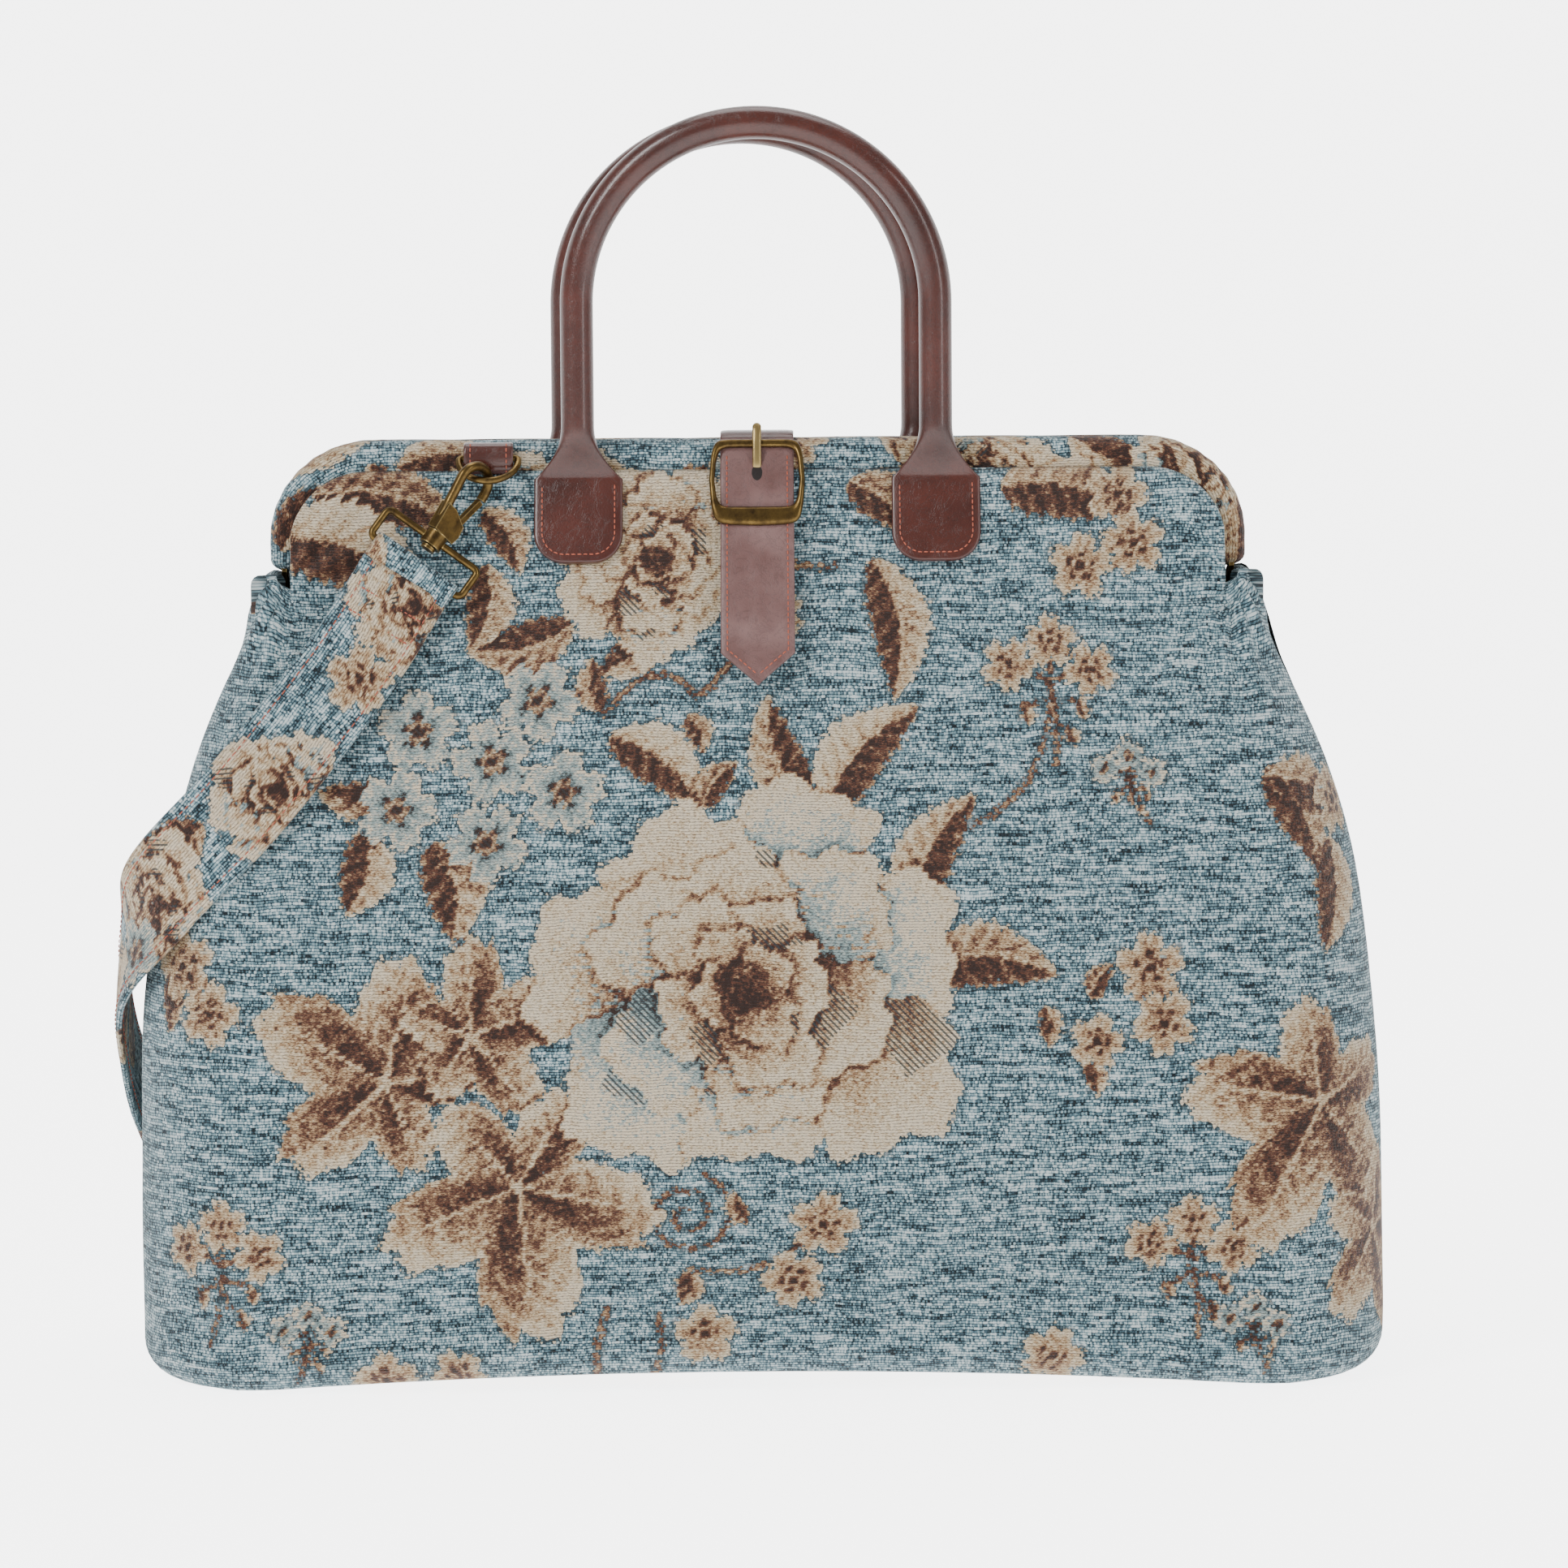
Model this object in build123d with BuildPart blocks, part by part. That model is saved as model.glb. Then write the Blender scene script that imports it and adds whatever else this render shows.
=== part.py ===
"""Carpet bag: a soft travel bag hung from two hinged steel jaws.

Millimetres. Origin at the middle of the base, +Z up, the front faces -Y.
The jaws are flat steel arches in padded covers, pivoted on a rivet at each
side. The tapestry panels, the lining and the stiff base board hang from them.
A leather strap with a buckle snaps the mouth shut, two rolled handles carry
the bag, and a shoulder strap is clipped to a ring on each jaw.
"""
from build123d import *
from math import atan2, copysign, cos, degrees, hypot, radians, sin, sqrt
import os

os.makedirs("parts", exist_ok=True)

# Overall sizes of the bag
base_width = 490
base_depth = 190
rim_width = 388
rim_top = 369
hinge_height = 307
hinge_depth = 70

# Plan and profile of the body: corner as a share of the half depth, and how
# far down and how fully the width and the depth swell below the hinges
plan_corner = 0.6
width_reach = 0.7
width_swell = 2.4
depth_reach = 0.8
depth_swell = 1.6

# Cloth
panel_wall = 2.5
lining_wall = 1
layer_gap = 0.6
bottom_round = 16
bottom_thickness = 3
board_thickness = 2.5
apron_lap = 4
apron_foot_share = 0.8
apron_round = 30
lining_side_gap = 6

# Jaws
jaw_gap = 0.6
rim_band = 15
rim_depth = 17
rim_corner = 40
rim_edge = 6
cover_foot = 10
bar_thickness = 2
bar_depth = 11
bar_inset = 2.6
pocket_gap = 0.4
ear_radius = 7
ear_gap = 0.3
ear_clear = 4
ear_front_angle = 30
ear_back_angle = 40
rivet_inset = 5
rivet_radius = 2.4
rivet_gap = 0.1
rivet_head = 4.8
rivet_head_thickness = 1.4

# Handles
handle_span = 141
handle_tube = 13
handle_top = 499
handle_stand = 27
rear_handle_shift = 6
tab_width = 35
tab_length = 34
tab_thickness = 3.6
tab_round = 12
tab_drop = 2
flare_height = 20

# Closing strap, buckle and magnetic snap
strap_width = 29
leather = 2.2
leather_gap = 0.3
strap_lean = 22.4
strap_reach = 56
billet_reach = 100.8
billet_point = 13
buckle_play = 3
buckle_top = 1.6
buckle_drop = 35.4
buckle_rail = 3
buckle_lower_bar = 6
buckle_plate = 2.2
buckle_corner = 3
window_corner = 1.5
centre_bar_drop = 17
centre_bar_radius = 1
centre_bar_rise = 2.4
tongue_width = 3.4
tongue_thickness = 1.8
tongue_tip = 7.6
tongue_play = 0.5
tongue_eye = 0.9
tongue_rise = 1.3
tongue_root = 6.5
tongue_bend = 3
hump_run = 8
hump_flat = 3
slot_top = 4
slot_margin = 3
snap_radius = 6.5
snap_thickness = 1.8
snap_drop = 48

# Shoulder strap, its rings and its swivel hooks
ring_tab_middle = -106
ring_tab_width = 19.4
ring_tab_height = 12.6
ring_tab_bulge = 6.7
ring_side_gap = 0.6
ring_corner = 1.6
ring_wire = 1.4
ring_play = 0.6
ring_lean = 50
ring_contact = 20
hook_play = 1.6
clip_tilt = 36
clip_lean = 15
hook_turn = 44
collar_radius = 4.6
collar_half = 3
shank_radius = 1.65
shank_gap = 0.1
loop_width = 46
loop_height = 13
loop_corner = 2.4
loop_wire = 1.5
shank_head = 3
shank_head_thickness = 1.4
base_thickness = 4.8
hook_wire = 2
spine_foot = (-3.4, 9)
spine_length = 17
spine_lean = 12
eye_radius = 7.6
claw_length = 3.4
claw_lean = 8
gate_pin = (5.2, 8.4)
gate_root = 2.2
gate_bar = 2.6
gate_thickness = 2.2
gate_gap = 0.3
gate_pin_radius = 0.9
sling_width = 38
sling_thickness = 3.2
sling_clear = 0.4
sling_fold = 1.6
sling_neck = 3
plan_squareness = 5

# Middle line of the shoulder strap, from the front clip round to the back,
# chosen round a base of this width and depth
route_width = 490
route_depth = 190
sling_route = [
    (-154, -52, 289),
    (-174, -60, 262),
    (-202, -70, 228),
    (-233, -66, 195),
    (-251, -42, 163),
    (-254, -8, 133),
    (-253, 28, 107),
    (-247, 62, 88),
    (-227, 89, 75),
    (-190, 99, 66),
    (-140, 101, 62),
    (-80, 101, 66),
    (-20, 101, 80),
    (35, 99, 104),
    (82, 92, 138),
    (118, 84, 178),
    (140, 74, 222),
    (152, 63, 262),
    (149, 52, 290),
]

buckle_width = strap_width + 2 * buckle_rail + buckle_play
ring_width = ring_tab_width + 4 * ring_wire + 2 * ring_side_gap
base_half = base_width / 2
rim_half = rim_width / 2
mouth_top = rim_top - rim_band
apron_half = rim_half - rim_band + apron_lap
apron_depth = jaw_gap / 2 + rim_depth + leather_gap + panel_wall
apron_height = mouth_top - hinge_height
apron_angle = degrees(atan2(hinge_depth / 2 - apron_depth, apron_height))


def ease(share, power):
    """Rises from 0 to 1 as share does, quickly first and then level."""
    return 1 - (1 - min(max(share, 0), 1)) ** power


def body_half_width(z, width=base_width):
    """Half the width at height z of a body whose base is this wide."""
    drop = (hinge_height - z) / hinge_height
    return rim_half + (width / 2 - rim_half) * ease(drop / width_reach, width_swell)


def body_half_depth(z, depth=base_depth):
    """Half the depth at height z of a body whose base is this deep."""
    drop = (hinge_height - z) / hinge_height
    spread = (depth - hinge_depth) / 2
    return hinge_depth / 2 + spread * ease(drop / depth_reach, depth_swell)


def bottom_inset(z):
    """How far the rounded bottom edge pulls the wall in at height z."""
    rise = max(bottom_round - z, 0)
    return bottom_round - sqrt(bottom_round**2 - rise**2)


def body_section(z, inset):
    """Rounded rectangle of the body at height z, inset from its outside."""
    pull = bottom_inset(z) + inset
    width = body_half_width(z) - pull
    depth = body_half_depth(z) - pull
    with BuildSketch(Plane.XY.offset(z), mode=Mode.PRIVATE) as section:
        RectangleRounded(2 * width, 2 * depth, plan_corner * depth)
    return section.sketch


def body_levels(start, end):
    """Heights of the loft's sections, closer together at the bottom edge."""
    shares = (0.006, 0.02, 0.05, 0.12, 0.25, 0.4, 0.52, 0.64, 0.75, 0.85, 0.93)
    inner = [share * hinge_height for share in shares]
    return [start] + [z for z in inner if start + 0.5 < z < end - 0.5] + [end]


def body_block(start, end, inset):
    """Solid of the body between two heights, inset from its outside."""
    with BuildPart(mode=Mode.PRIVATE) as block:
        loft([body_section(z, inset) for z in body_levels(start, end)], ruled=True)
    return block.part


def arch_face(plane, half_width, foot, top, corner):
    """Upright face with its two upper corners rounded."""
    with BuildSketch(plane, mode=Mode.PRIVATE) as face:
        with Locations((0, (foot + top) / 2)):
            Rectangle(2 * half_width, top - foot)
        fillet(face.vertices().group_by(Axis.Y)[-1], corner)
    return face.sketch


def arch_band(plane, half_width, foot, top, corner, band):
    """Upside-down U of constant width."""
    outer = arch_face(plane, half_width, foot, top, corner)
    return outer - arch_face(plane, half_width - band, foot - 1, top - band, corner - band)


def save(piece, name):
    """Label one sub-part and write its STEP file."""
    piece.label = name
    export_step(piece, f"parts/{name}.step")


def placed(plane, offset=(0, 0, 0), turn=(0, 0, 0)):
    """A plane moved and then turned in another plane's own directions."""
    return Plane(plane.location * Location(offset, turn))


def turned(piece):
    """The same piece on the other side of the bag, half a turn about Z."""
    return piece.rotate(Axis.Z, 180)


# ---------------------------------------------------------------- outer cloth
def apron(side_inset, outer_inset, thickness, foot):
    """Sloping front wall above the hinges, leaning in to the rim."""
    lean = (hinge_depth / 2 - apron_depth) / apron_height
    top = mouth_top - outer_inset
    rise = mouth_top - foot
    outer_top = -(apron_depth - outer_inset) - lean * outer_inset
    straight_foot = -(apron_depth - outer_inset) - lean * rise
    wall_foot = outer_inset + apron_foot_share * thickness - body_half_depth(foot)
    outer_foot = min(straight_foot, wall_foot)
    face = arch_face(Plane.XZ, apron_half - side_inset, foot, top, apron_round)
    with BuildPart(mode=Mode.PRIVATE) as wall:
        with BuildSketch(Plane.YZ):
            with BuildLine():
                Polyline(
                    (outer_foot, foot),
                    (outer_top, top),
                    (outer_top + thickness, top),
                    (outer_foot + thickness, foot),
                    close=True,
                )
            make_face()
        extrude(amount=apron_half, both=True)
        extrude(face, amount=base_depth, mode=Mode.INTERSECT)
    return wall.part


with BuildPart() as front_panel:
    add(body_block(0, hinge_height, 0))
    add(body_block(0, hinge_height, panel_wall), mode=Mode.SUBTRACT)
    split(bisect_by=Plane.XZ, keep=Keep.TOP)
    add(apron(0, 0, panel_wall, hinge_height))
save(front_panel.part, "front_panel")
save(turned(front_panel.part), "back_panel")

bottom_face = body_section(0, panel_wall + leather_gap)
with BuildPart() as bottom_panel:
    extrude(bottom_face, amount=bottom_thickness)
save(bottom_panel.part, "bottom_panel")

board_height = bottom_thickness + leather_gap
with BuildPart() as base_board:
    with BuildSketch(Plane.XY.offset(board_height)):
        board_face = body_section(0, panel_wall + 2 * layer_gap).faces()[0]
        add(board_face.moved(Location((0, 0, board_height))))
    extrude(amount=board_thickness)
save(base_board.part, "base_board")

# --------------------------------------------------------------------- lining
lining_floor = board_height + board_thickness + leather_gap
lining_top = hinge_height - ear_radius - ear_clear
lining_out = panel_wall + 1.5 * layer_gap
with BuildPart() as lining:
    add(body_block(lining_floor, lining_top, lining_out))
    add(
        body_block(lining_floor + lining_wall, lining_top, lining_out + lining_wall),
        mode=Mode.SUBTRACT,
    )
    lining_apron = apron(lining_side_gap, lining_out, lining_wall, lining_top)
    add(lining_apron)
    add(turned(lining_apron))
save(lining.part, "lining")

# ----------------------------------------------------------------------- jaws
rivet_outer = rim_half - rivet_inset
leg_outer = {"front": rivet_outer, "back": rivet_outer - bar_thickness - ear_gap}
pocket_side = (rim_band - bar_thickness) / 2
bar_top = rim_top - pocket_side
front_turn = radians(ear_front_angle)
back_turn = radians(ear_back_angle)


def jaw_bar(side):
    """Flat steel arch whose legs end in pivot ears on the hinge axis."""
    half = leg_outer[side]
    near = jaw_gap / 2 + bar_inset
    corner = rim_corner - pocket_side
    foot = hinge_height + cover_foot
    plane = Plane.XZ.offset(near)
    with BuildPart(mode=Mode.PRIVATE) as bar:
        extrude(arch_band(plane, half, foot, bar_top, corner, bar_thickness), amount=bar_depth)
        for side_x in (-half, half - bar_thickness):
            with BuildSketch(Plane.YZ.offset(side_x)):
                with Locations((0, hinge_height)):
                    Circle(ear_radius)
                with BuildLine():
                    Polyline(
                        (-near, foot),
                        (-near - bar_depth, foot),
                        (-ear_radius * cos(front_turn), hinge_height - ear_radius * sin(front_turn)),
                        (0, hinge_height),
                        (ear_radius * sin(back_turn), hinge_height + ear_radius * cos(back_turn)),
                        close=True,
                    )
                make_face()
                with Locations((0, hinge_height)):
                    Circle(rivet_radius + rivet_gap, mode=Mode.SUBTRACT)
            extrude(amount=bar_thickness)
    return bar.part


with BuildPart() as front_rim_cover:
    cover_plane = Plane.XZ.offset(jaw_gap / 2)
    cover_foot_height = hinge_height + cover_foot
    band = arch_band(cover_plane, rim_half, cover_foot_height, rim_top, rim_corner, rim_band)
    extrude(band, amount=rim_depth)
    face_edges = front_rim_cover.faces().sort_by(Axis.Y)[0].edges()
    soft_edges = face_edges.filter_by(lambda edge: edge.bounding_box().max.Z > cover_foot_height + 1)
    fillet(soft_edges, rim_edge)
rim_shell = front_rim_cover.part


def rim_pocket(side):
    """Room for the steel arch inside the padded cover."""
    half = leg_outer[side] + pocket_gap
    plane = Plane.XZ.offset(jaw_gap / 2 + bar_inset - pocket_gap)
    corner = rim_corner - pocket_side + pocket_gap
    foot = hinge_height + cover_foot - 1
    width = bar_thickness + 2 * pocket_gap
    with BuildPart(mode=Mode.PRIVATE) as pocket:
        band = arch_band(plane, half, foot, bar_top + pocket_gap, corner, width)
        extrude(band, amount=bar_depth + 2 * pocket_gap)
    return pocket.part


for side in ("front", "back"):
    bar = jaw_bar(side)
    cover = rim_shell - rim_pocket(side)
    save(bar if side == "front" else turned(bar), f"frame_bar_{side}")
    save(cover if side == "front" else turned(cover), f"{side}_rim_cover")

stack_outer = rivet_outer + ear_gap
stack_inner = rivet_outer - 2 * bar_thickness - 2 * ear_gap
with BuildPart() as hinge_rivet:
    with BuildSketch(Plane.YZ.offset(stack_inner - rivet_head_thickness)):
        with Locations((0, hinge_height)):
            Circle(rivet_head)
    extrude(amount=rivet_head_thickness)
    with BuildSketch(Plane.YZ.offset(stack_inner)):
        with Locations((0, hinge_height)):
            Circle(rivet_radius)
    extrude(amount=stack_outer - stack_inner)
    with BuildSketch(Plane.YZ.offset(stack_outer)):
        with Locations((0, hinge_height)):
            Circle(rivet_head)
    extrude(amount=rivet_head_thickness)
save(hinge_rivet.part, "hinge_rivet_right")
save(turned(hinge_rivet.part), "hinge_rivet_left")

# -------------------------------------------------------------------- handles
apron_plane = Plane(
    origin=(0, -apron_depth, mouth_top),
    x_dir=(1, 0, 0),
    z_dir=(0, -cos(radians(apron_angle)), sin(radians(apron_angle))),
)
tube_radius = handle_tube / 2
arch_radius = handle_span / 2
arch_centre = handle_top - tube_radius - arch_radius
leg_foot = mouth_top + flare_height
tab_back = layer_gap / 2
tab_top_plane = Plane(
    origin=apron_plane.from_local_coords((0, -tab_drop, tab_back + tab_thickness / 2)),
    x_dir=(1, 0, 0),
    z_dir=apron_plane.y_dir,
)
with BuildPart() as handle_front:
    with BuildLine(Plane.XZ.offset(handle_stand)) as grip_path:
        left_leg = Line((-arch_radius, leg_foot), (-arch_radius, arch_centre))
        bow = ThreePointArc(left_leg @ 1, (0, arch_centre + arch_radius), (arch_radius, arch_centre))
        Line(bow @ 1, (arch_radius, leg_foot))
    with BuildSketch(Plane.XY.offset(leg_foot)) as grip_section:
        with Locations((-arch_radius, -handle_stand)):
            Circle(tube_radius)
    sweep()
    for x in (-arch_radius, arch_radius):
        with BuildSketch(Plane.XY.offset(leg_foot)):
            with Locations((x, -handle_stand)):
                Circle(tube_radius)
        with BuildSketch(tab_top_plane):
            with Locations((x, 0)):
                Ellipse(tab_width / 2, tab_thickness / 2)
        loft()
        with BuildSketch(apron_plane.offset(tab_back)):
            with Locations((x, -tab_drop - tab_length / 2)):
                tab = Rectangle(tab_width, tab_length)
            fillet(tab.vertices().group_by(Axis.Y)[0], tab_round)
        extrude(amount=tab_thickness)
save(handle_front.part, "handle_front")
handle_back = turned(handle_front.part).moved(Location((-rear_handle_shift, 0, 0)))
save(handle_back, "handle_back")

# -------------------------------------------------- closing strap and buckle
strap_half = strap_width / 2
edge_centre_y = -(jaw_gap / 2 + rim_depth - rim_edge)
edge_centre_z = rim_top - rim_edge
strap_under = rim_edge + sling_clear
lean_sin = sin(radians(strap_lean))
lean_cos = cos(radians(strap_lean))
strap_plane = Plane(
    origin=(
        0,
        edge_centre_y - (strap_under + leather) * lean_cos,
        edge_centre_z + (strap_under + leather) * lean_sin,
    ),
    x_dir=(1, 0, 0),
    z_dir=(0, -lean_cos, lean_sin),
)
strap_tail = jaw_gap / 2 + rim_depth
with BuildPart() as closure_strap:
    with BuildSketch(Plane.YZ):
        with BuildLine():
            inner_end = (edge_centre_y, edge_centre_z + strap_under)
            outer_end = (edge_centre_y, edge_centre_z + strap_under + leather)
            Polyline(inner_end, (strap_tail, inner_end[1]), (strap_tail, outer_end[1]), outer_end)
            inner_arc = CenterArc((edge_centre_y, edge_centre_z), strap_under, 90, 90 - strap_lean)
            outer_arc = CenterArc((edge_centre_y, edge_centre_z), strap_under + leather, 90, 90 - strap_lean)
            fall = Vector(-strap_reach * lean_sin, -strap_reach * lean_cos)
            inner_foot = inner_arc @ 1 + fall
            outer_foot = outer_arc @ 1 + fall
            Polyline(inner_arc @ 1, inner_foot, outer_foot, outer_arc @ 1)
        make_face()
    extrude(amount=strap_half, both=True)
save(closure_strap.part, "closure_strap")

hump_low = centre_bar_rise + centre_bar_radius + 2 * leather_gap
billet_low = leather_gap
billet_profile = [
    (buckle_top, billet_low),
    (-centre_bar_drop + hump_flat + hump_run, billet_low),
    (-centre_bar_drop + hump_flat, hump_low),
    (-centre_bar_drop - hump_flat, hump_low),
    (-centre_bar_drop - hump_flat - hump_run, billet_low),
    (-billet_reach, billet_low),
]
side_plane = Plane(origin=strap_plane.origin, x_dir=strap_plane.y_dir, z_dir=(1, 0, 0))
side_up = 1 if side_plane.y_dir.dot(strap_plane.z_dir) > 0 else -1
slot_low = -centre_bar_drop - slot_margin
slot_high = -slot_top
with BuildPart() as billet_strap:
    with BuildSketch(side_plane):
        with BuildLine():
            lower = [(u, side_up * v) for u, v in billet_profile]
            upper = [(u, side_up * (v + leather)) for u, v in reversed(billet_profile)]
            Polyline(*lower, *upper, close=True)
        make_face()
    extrude(amount=strap_half, both=True)
    with BuildSketch(strap_plane):
        with BuildLine():
            Polyline(
                (-strap_half, buckle_top + 1),
                (-strap_half, -billet_reach + billet_point),
                (0, -billet_reach),
                (strap_half, -billet_reach + billet_point),
                (strap_half, buckle_top + 1),
                close=True,
            )
        make_face()
        with Locations((0, (slot_low + slot_high) / 2)):
            Rectangle(tongue_width + 2 * tongue_play, slot_high - slot_low, mode=Mode.SUBTRACT)
    extrude(amount=hump_low + 2 * leather, mode=Mode.INTERSECT)
save(billet_strap.part, "billet_strap")

frame_low = billet_low + leather + leather_gap
frame_middle = (buckle_top - buckle_drop) / 2
frame_height = buckle_top + buckle_drop
with BuildPart() as buckle_frame:
    with BuildSketch(strap_plane.offset(frame_low)):
        with Locations((0, frame_middle)):
            RectangleRounded(buckle_width, frame_height, buckle_corner)
        window_height = frame_height - buckle_rail - buckle_lower_bar
        with Locations((0, frame_middle + (buckle_lower_bar - buckle_rail) / 2)):
            window_width = buckle_width - 2 * buckle_rail
            RectangleRounded(window_width, window_height, window_corner, mode=Mode.SUBTRACT)
    extrude(amount=buckle_plate)
    for x in (-1, 1):
        with BuildSketch(strap_plane.offset(centre_bar_rise - centre_bar_radius)):
            with Locations((x * (buckle_width - buckle_rail) / 2, -centre_bar_drop)):
                Rectangle(buckle_rail, 3 * centre_bar_radius)
        extrude(amount=frame_low + buckle_plate - centre_bar_rise + centre_bar_radius)
    bar_origin = strap_plane.from_local_coords((-buckle_width / 2, -centre_bar_drop, centre_bar_rise))
    with BuildSketch(Plane(origin=bar_origin, x_dir=(0, 1, 0), z_dir=(1, 0, 0))):
        Circle(centre_bar_radius)
    extrude(amount=buckle_width)
save(buckle_frame.part, "buckle_frame")

loop_inner = centre_bar_radius + shank_gap
tongue_low = centre_bar_rise - loop_inner + tongue_rise
over_bar = frame_low + buckle_plate + leather_gap
tongue_profile = [
    (-centre_bar_drop, tongue_low),
    (-tongue_root, tongue_low),
    (-tongue_bend, over_bar),
    (tongue_tip, over_bar),
]
with BuildPart() as buckle_tongue:
    with BuildSketch(side_plane):
        with BuildLine():
            lower = [(u, side_up * v) for u, v in tongue_profile]
            upper = [(u, side_up * (v + tongue_thickness)) for u, v in reversed(tongue_profile)]
            Polyline(*lower, *upper, close=True)
        make_face()
        with Locations((-centre_bar_drop, side_up * centre_bar_rise)):
            Circle(loop_inner + tongue_eye)
            Circle(loop_inner, mode=Mode.SUBTRACT)
    extrude(amount=tongue_width / 2, both=True)
save(buckle_tongue.part, "buckle_tongue")

with BuildPart() as snap_stud:
    with BuildSketch(strap_plane.offset(-leather - snap_thickness)):
        with Locations((0, -snap_drop)):
            Circle(snap_radius)
    extrude(amount=snap_thickness)
save(snap_stud.part, "snap_stud")

with BuildPart() as snap_socket:
    with BuildSketch(strap_plane.offset(-leather - 2 * snap_thickness - leather_gap)):
        with Locations((0, -snap_drop)):
            Circle(snap_radius)
    extrude(amount=snap_thickness)
save(snap_socket.part, "snap_socket")

# ------------------------------------------------------------- rings and tabs
rim_face = -(jaw_gap / 2 + rim_depth)
ring_axis_y = rim_face - leather_gap - ring_tab_bulge / 2
ring_axis_z = rim_top - rim_band / 2
with BuildPart() as ring_tab:
    with BuildSketch(Plane.YZ.offset(ring_tab_middle - ring_tab_width / 2)):
        back = rim_face - leather_gap
        half = ring_tab_height / 2
        with BuildLine():
            Polyline(
                (back, ring_axis_z - half),
                (back - 1.6, ring_axis_z - half),
                (back - ring_tab_bulge, ring_axis_z - 0.4 * half),
                (back - ring_tab_bulge, ring_axis_z + 0.4 * half),
                (back - 1.6, ring_axis_z + half),
                (back, ring_axis_z + half),
                close=True,
            )
        make_face()
        with Locations((ring_axis_y, ring_axis_z)):
            Circle(ring_wire + ring_play, mode=Mode.SUBTRACT)
    extrude(amount=ring_tab_width)

ring_plane = Plane(
    origin=(ring_tab_middle, ring_axis_y, ring_axis_z),
    x_dir=(1, 0, 0),
    z_dir=(0, -cos(radians(ring_lean)), sin(radians(ring_lean))),
)
ring_half = ring_width / 2 - ring_wire
with BuildPart() as ring:
    with BuildLine(ring_plane) as ring_path:
        bar = Line((-ring_half + ring_corner, 0), (ring_half - ring_corner, 0))
        turn = RadiusArc(bar @ 1, (ring_half, -ring_corner), ring_corner)
        bow = ThreePointArc(turn @ 1, (0, -ring_corner - ring_half), (-ring_half, -ring_corner))
        RadiusArc(bow @ 1, bar @ 0, ring_corner)
    with BuildSketch(Plane(origin=ring_path.line @ 0, z_dir=ring_path.line % 0)):
        Circle(ring_wire)
    sweep(path=ring_path.line)

# --------------------------------------------------------------- swivel hooks
contact_turn = radians(ring_contact)
contact = ring_plane.from_local_coords(
    (-ring_half * sin(contact_turn), -ring_corner - ring_half * cos(contact_turn), 0)
)
facing = Plane(origin=contact, x_dir=(1, 0, 0), z_dir=(0, -1, 0))
hung = placed(placed(facing, turn=(0, 0, -clip_tilt)), turn=(-clip_lean, 0, 0))
spine_turn = radians(spine_lean)
spine_end = (spine_foot[0] - spine_length * sin(spine_turn), spine_foot[1] + spine_length * cos(spine_turn))
eye_centre = (spine_end[0] + eye_radius * cos(spine_turn), spine_end[1] + eye_radius * sin(spine_turn))
contact_rise = eye_centre[1] + eye_radius - hook_wire - hook_play - ring_wire
loop_plane = placed(hung, offset=(0, -contact_rise, 0))
hook_plane = placed(placed(loop_plane, turn=(0, hook_turn, 0)), offset=(-eye_centre[0], 0, 0))
collar_plane = Plane(origin=loop_plane.origin, x_dir=loop_plane.x_dir, z_dir=loop_plane.y_dir)

with BuildPart() as swivel_loop:
    with BuildSketch(collar_plane.offset(-collar_half)):
        Circle(collar_radius)
    extrude(amount=2 * collar_half)
    side = loop_width / 2 - loop_wire
    with BuildLine(loop_plane) as wire_path:
        upper = Line((-side + loop_corner, 0), (side - loop_corner, 0))
        right = RadiusArc(upper @ 1, (side, -loop_corner), loop_corner)
        right_side = Line(right @ 1, (side, -loop_height + loop_corner))
        right_foot = RadiusArc(right_side @ 1, (side - loop_corner, -loop_height), loop_corner)
        lower = Line(right_foot @ 1, (-side + loop_corner, -loop_height))
        left_foot = RadiusArc(lower @ 1, (-side, -loop_height + loop_corner), loop_corner)
        left_side = Line(left_foot @ 1, (-side, -loop_corner))
        RadiusArc(left_side @ 1, upper @ 0, loop_corner)
    with BuildSketch(Plane(origin=wire_path.line @ 0, z_dir=wire_path.line % 0)):
        Circle(loop_wire)
    sweep(path=wire_path.line)
    with BuildSketch(collar_plane.offset(-collar_half - 1)):
        Circle(shank_radius + shank_gap)
    extrude(amount=2 * collar_half + 2, mode=Mode.SUBTRACT)

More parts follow.
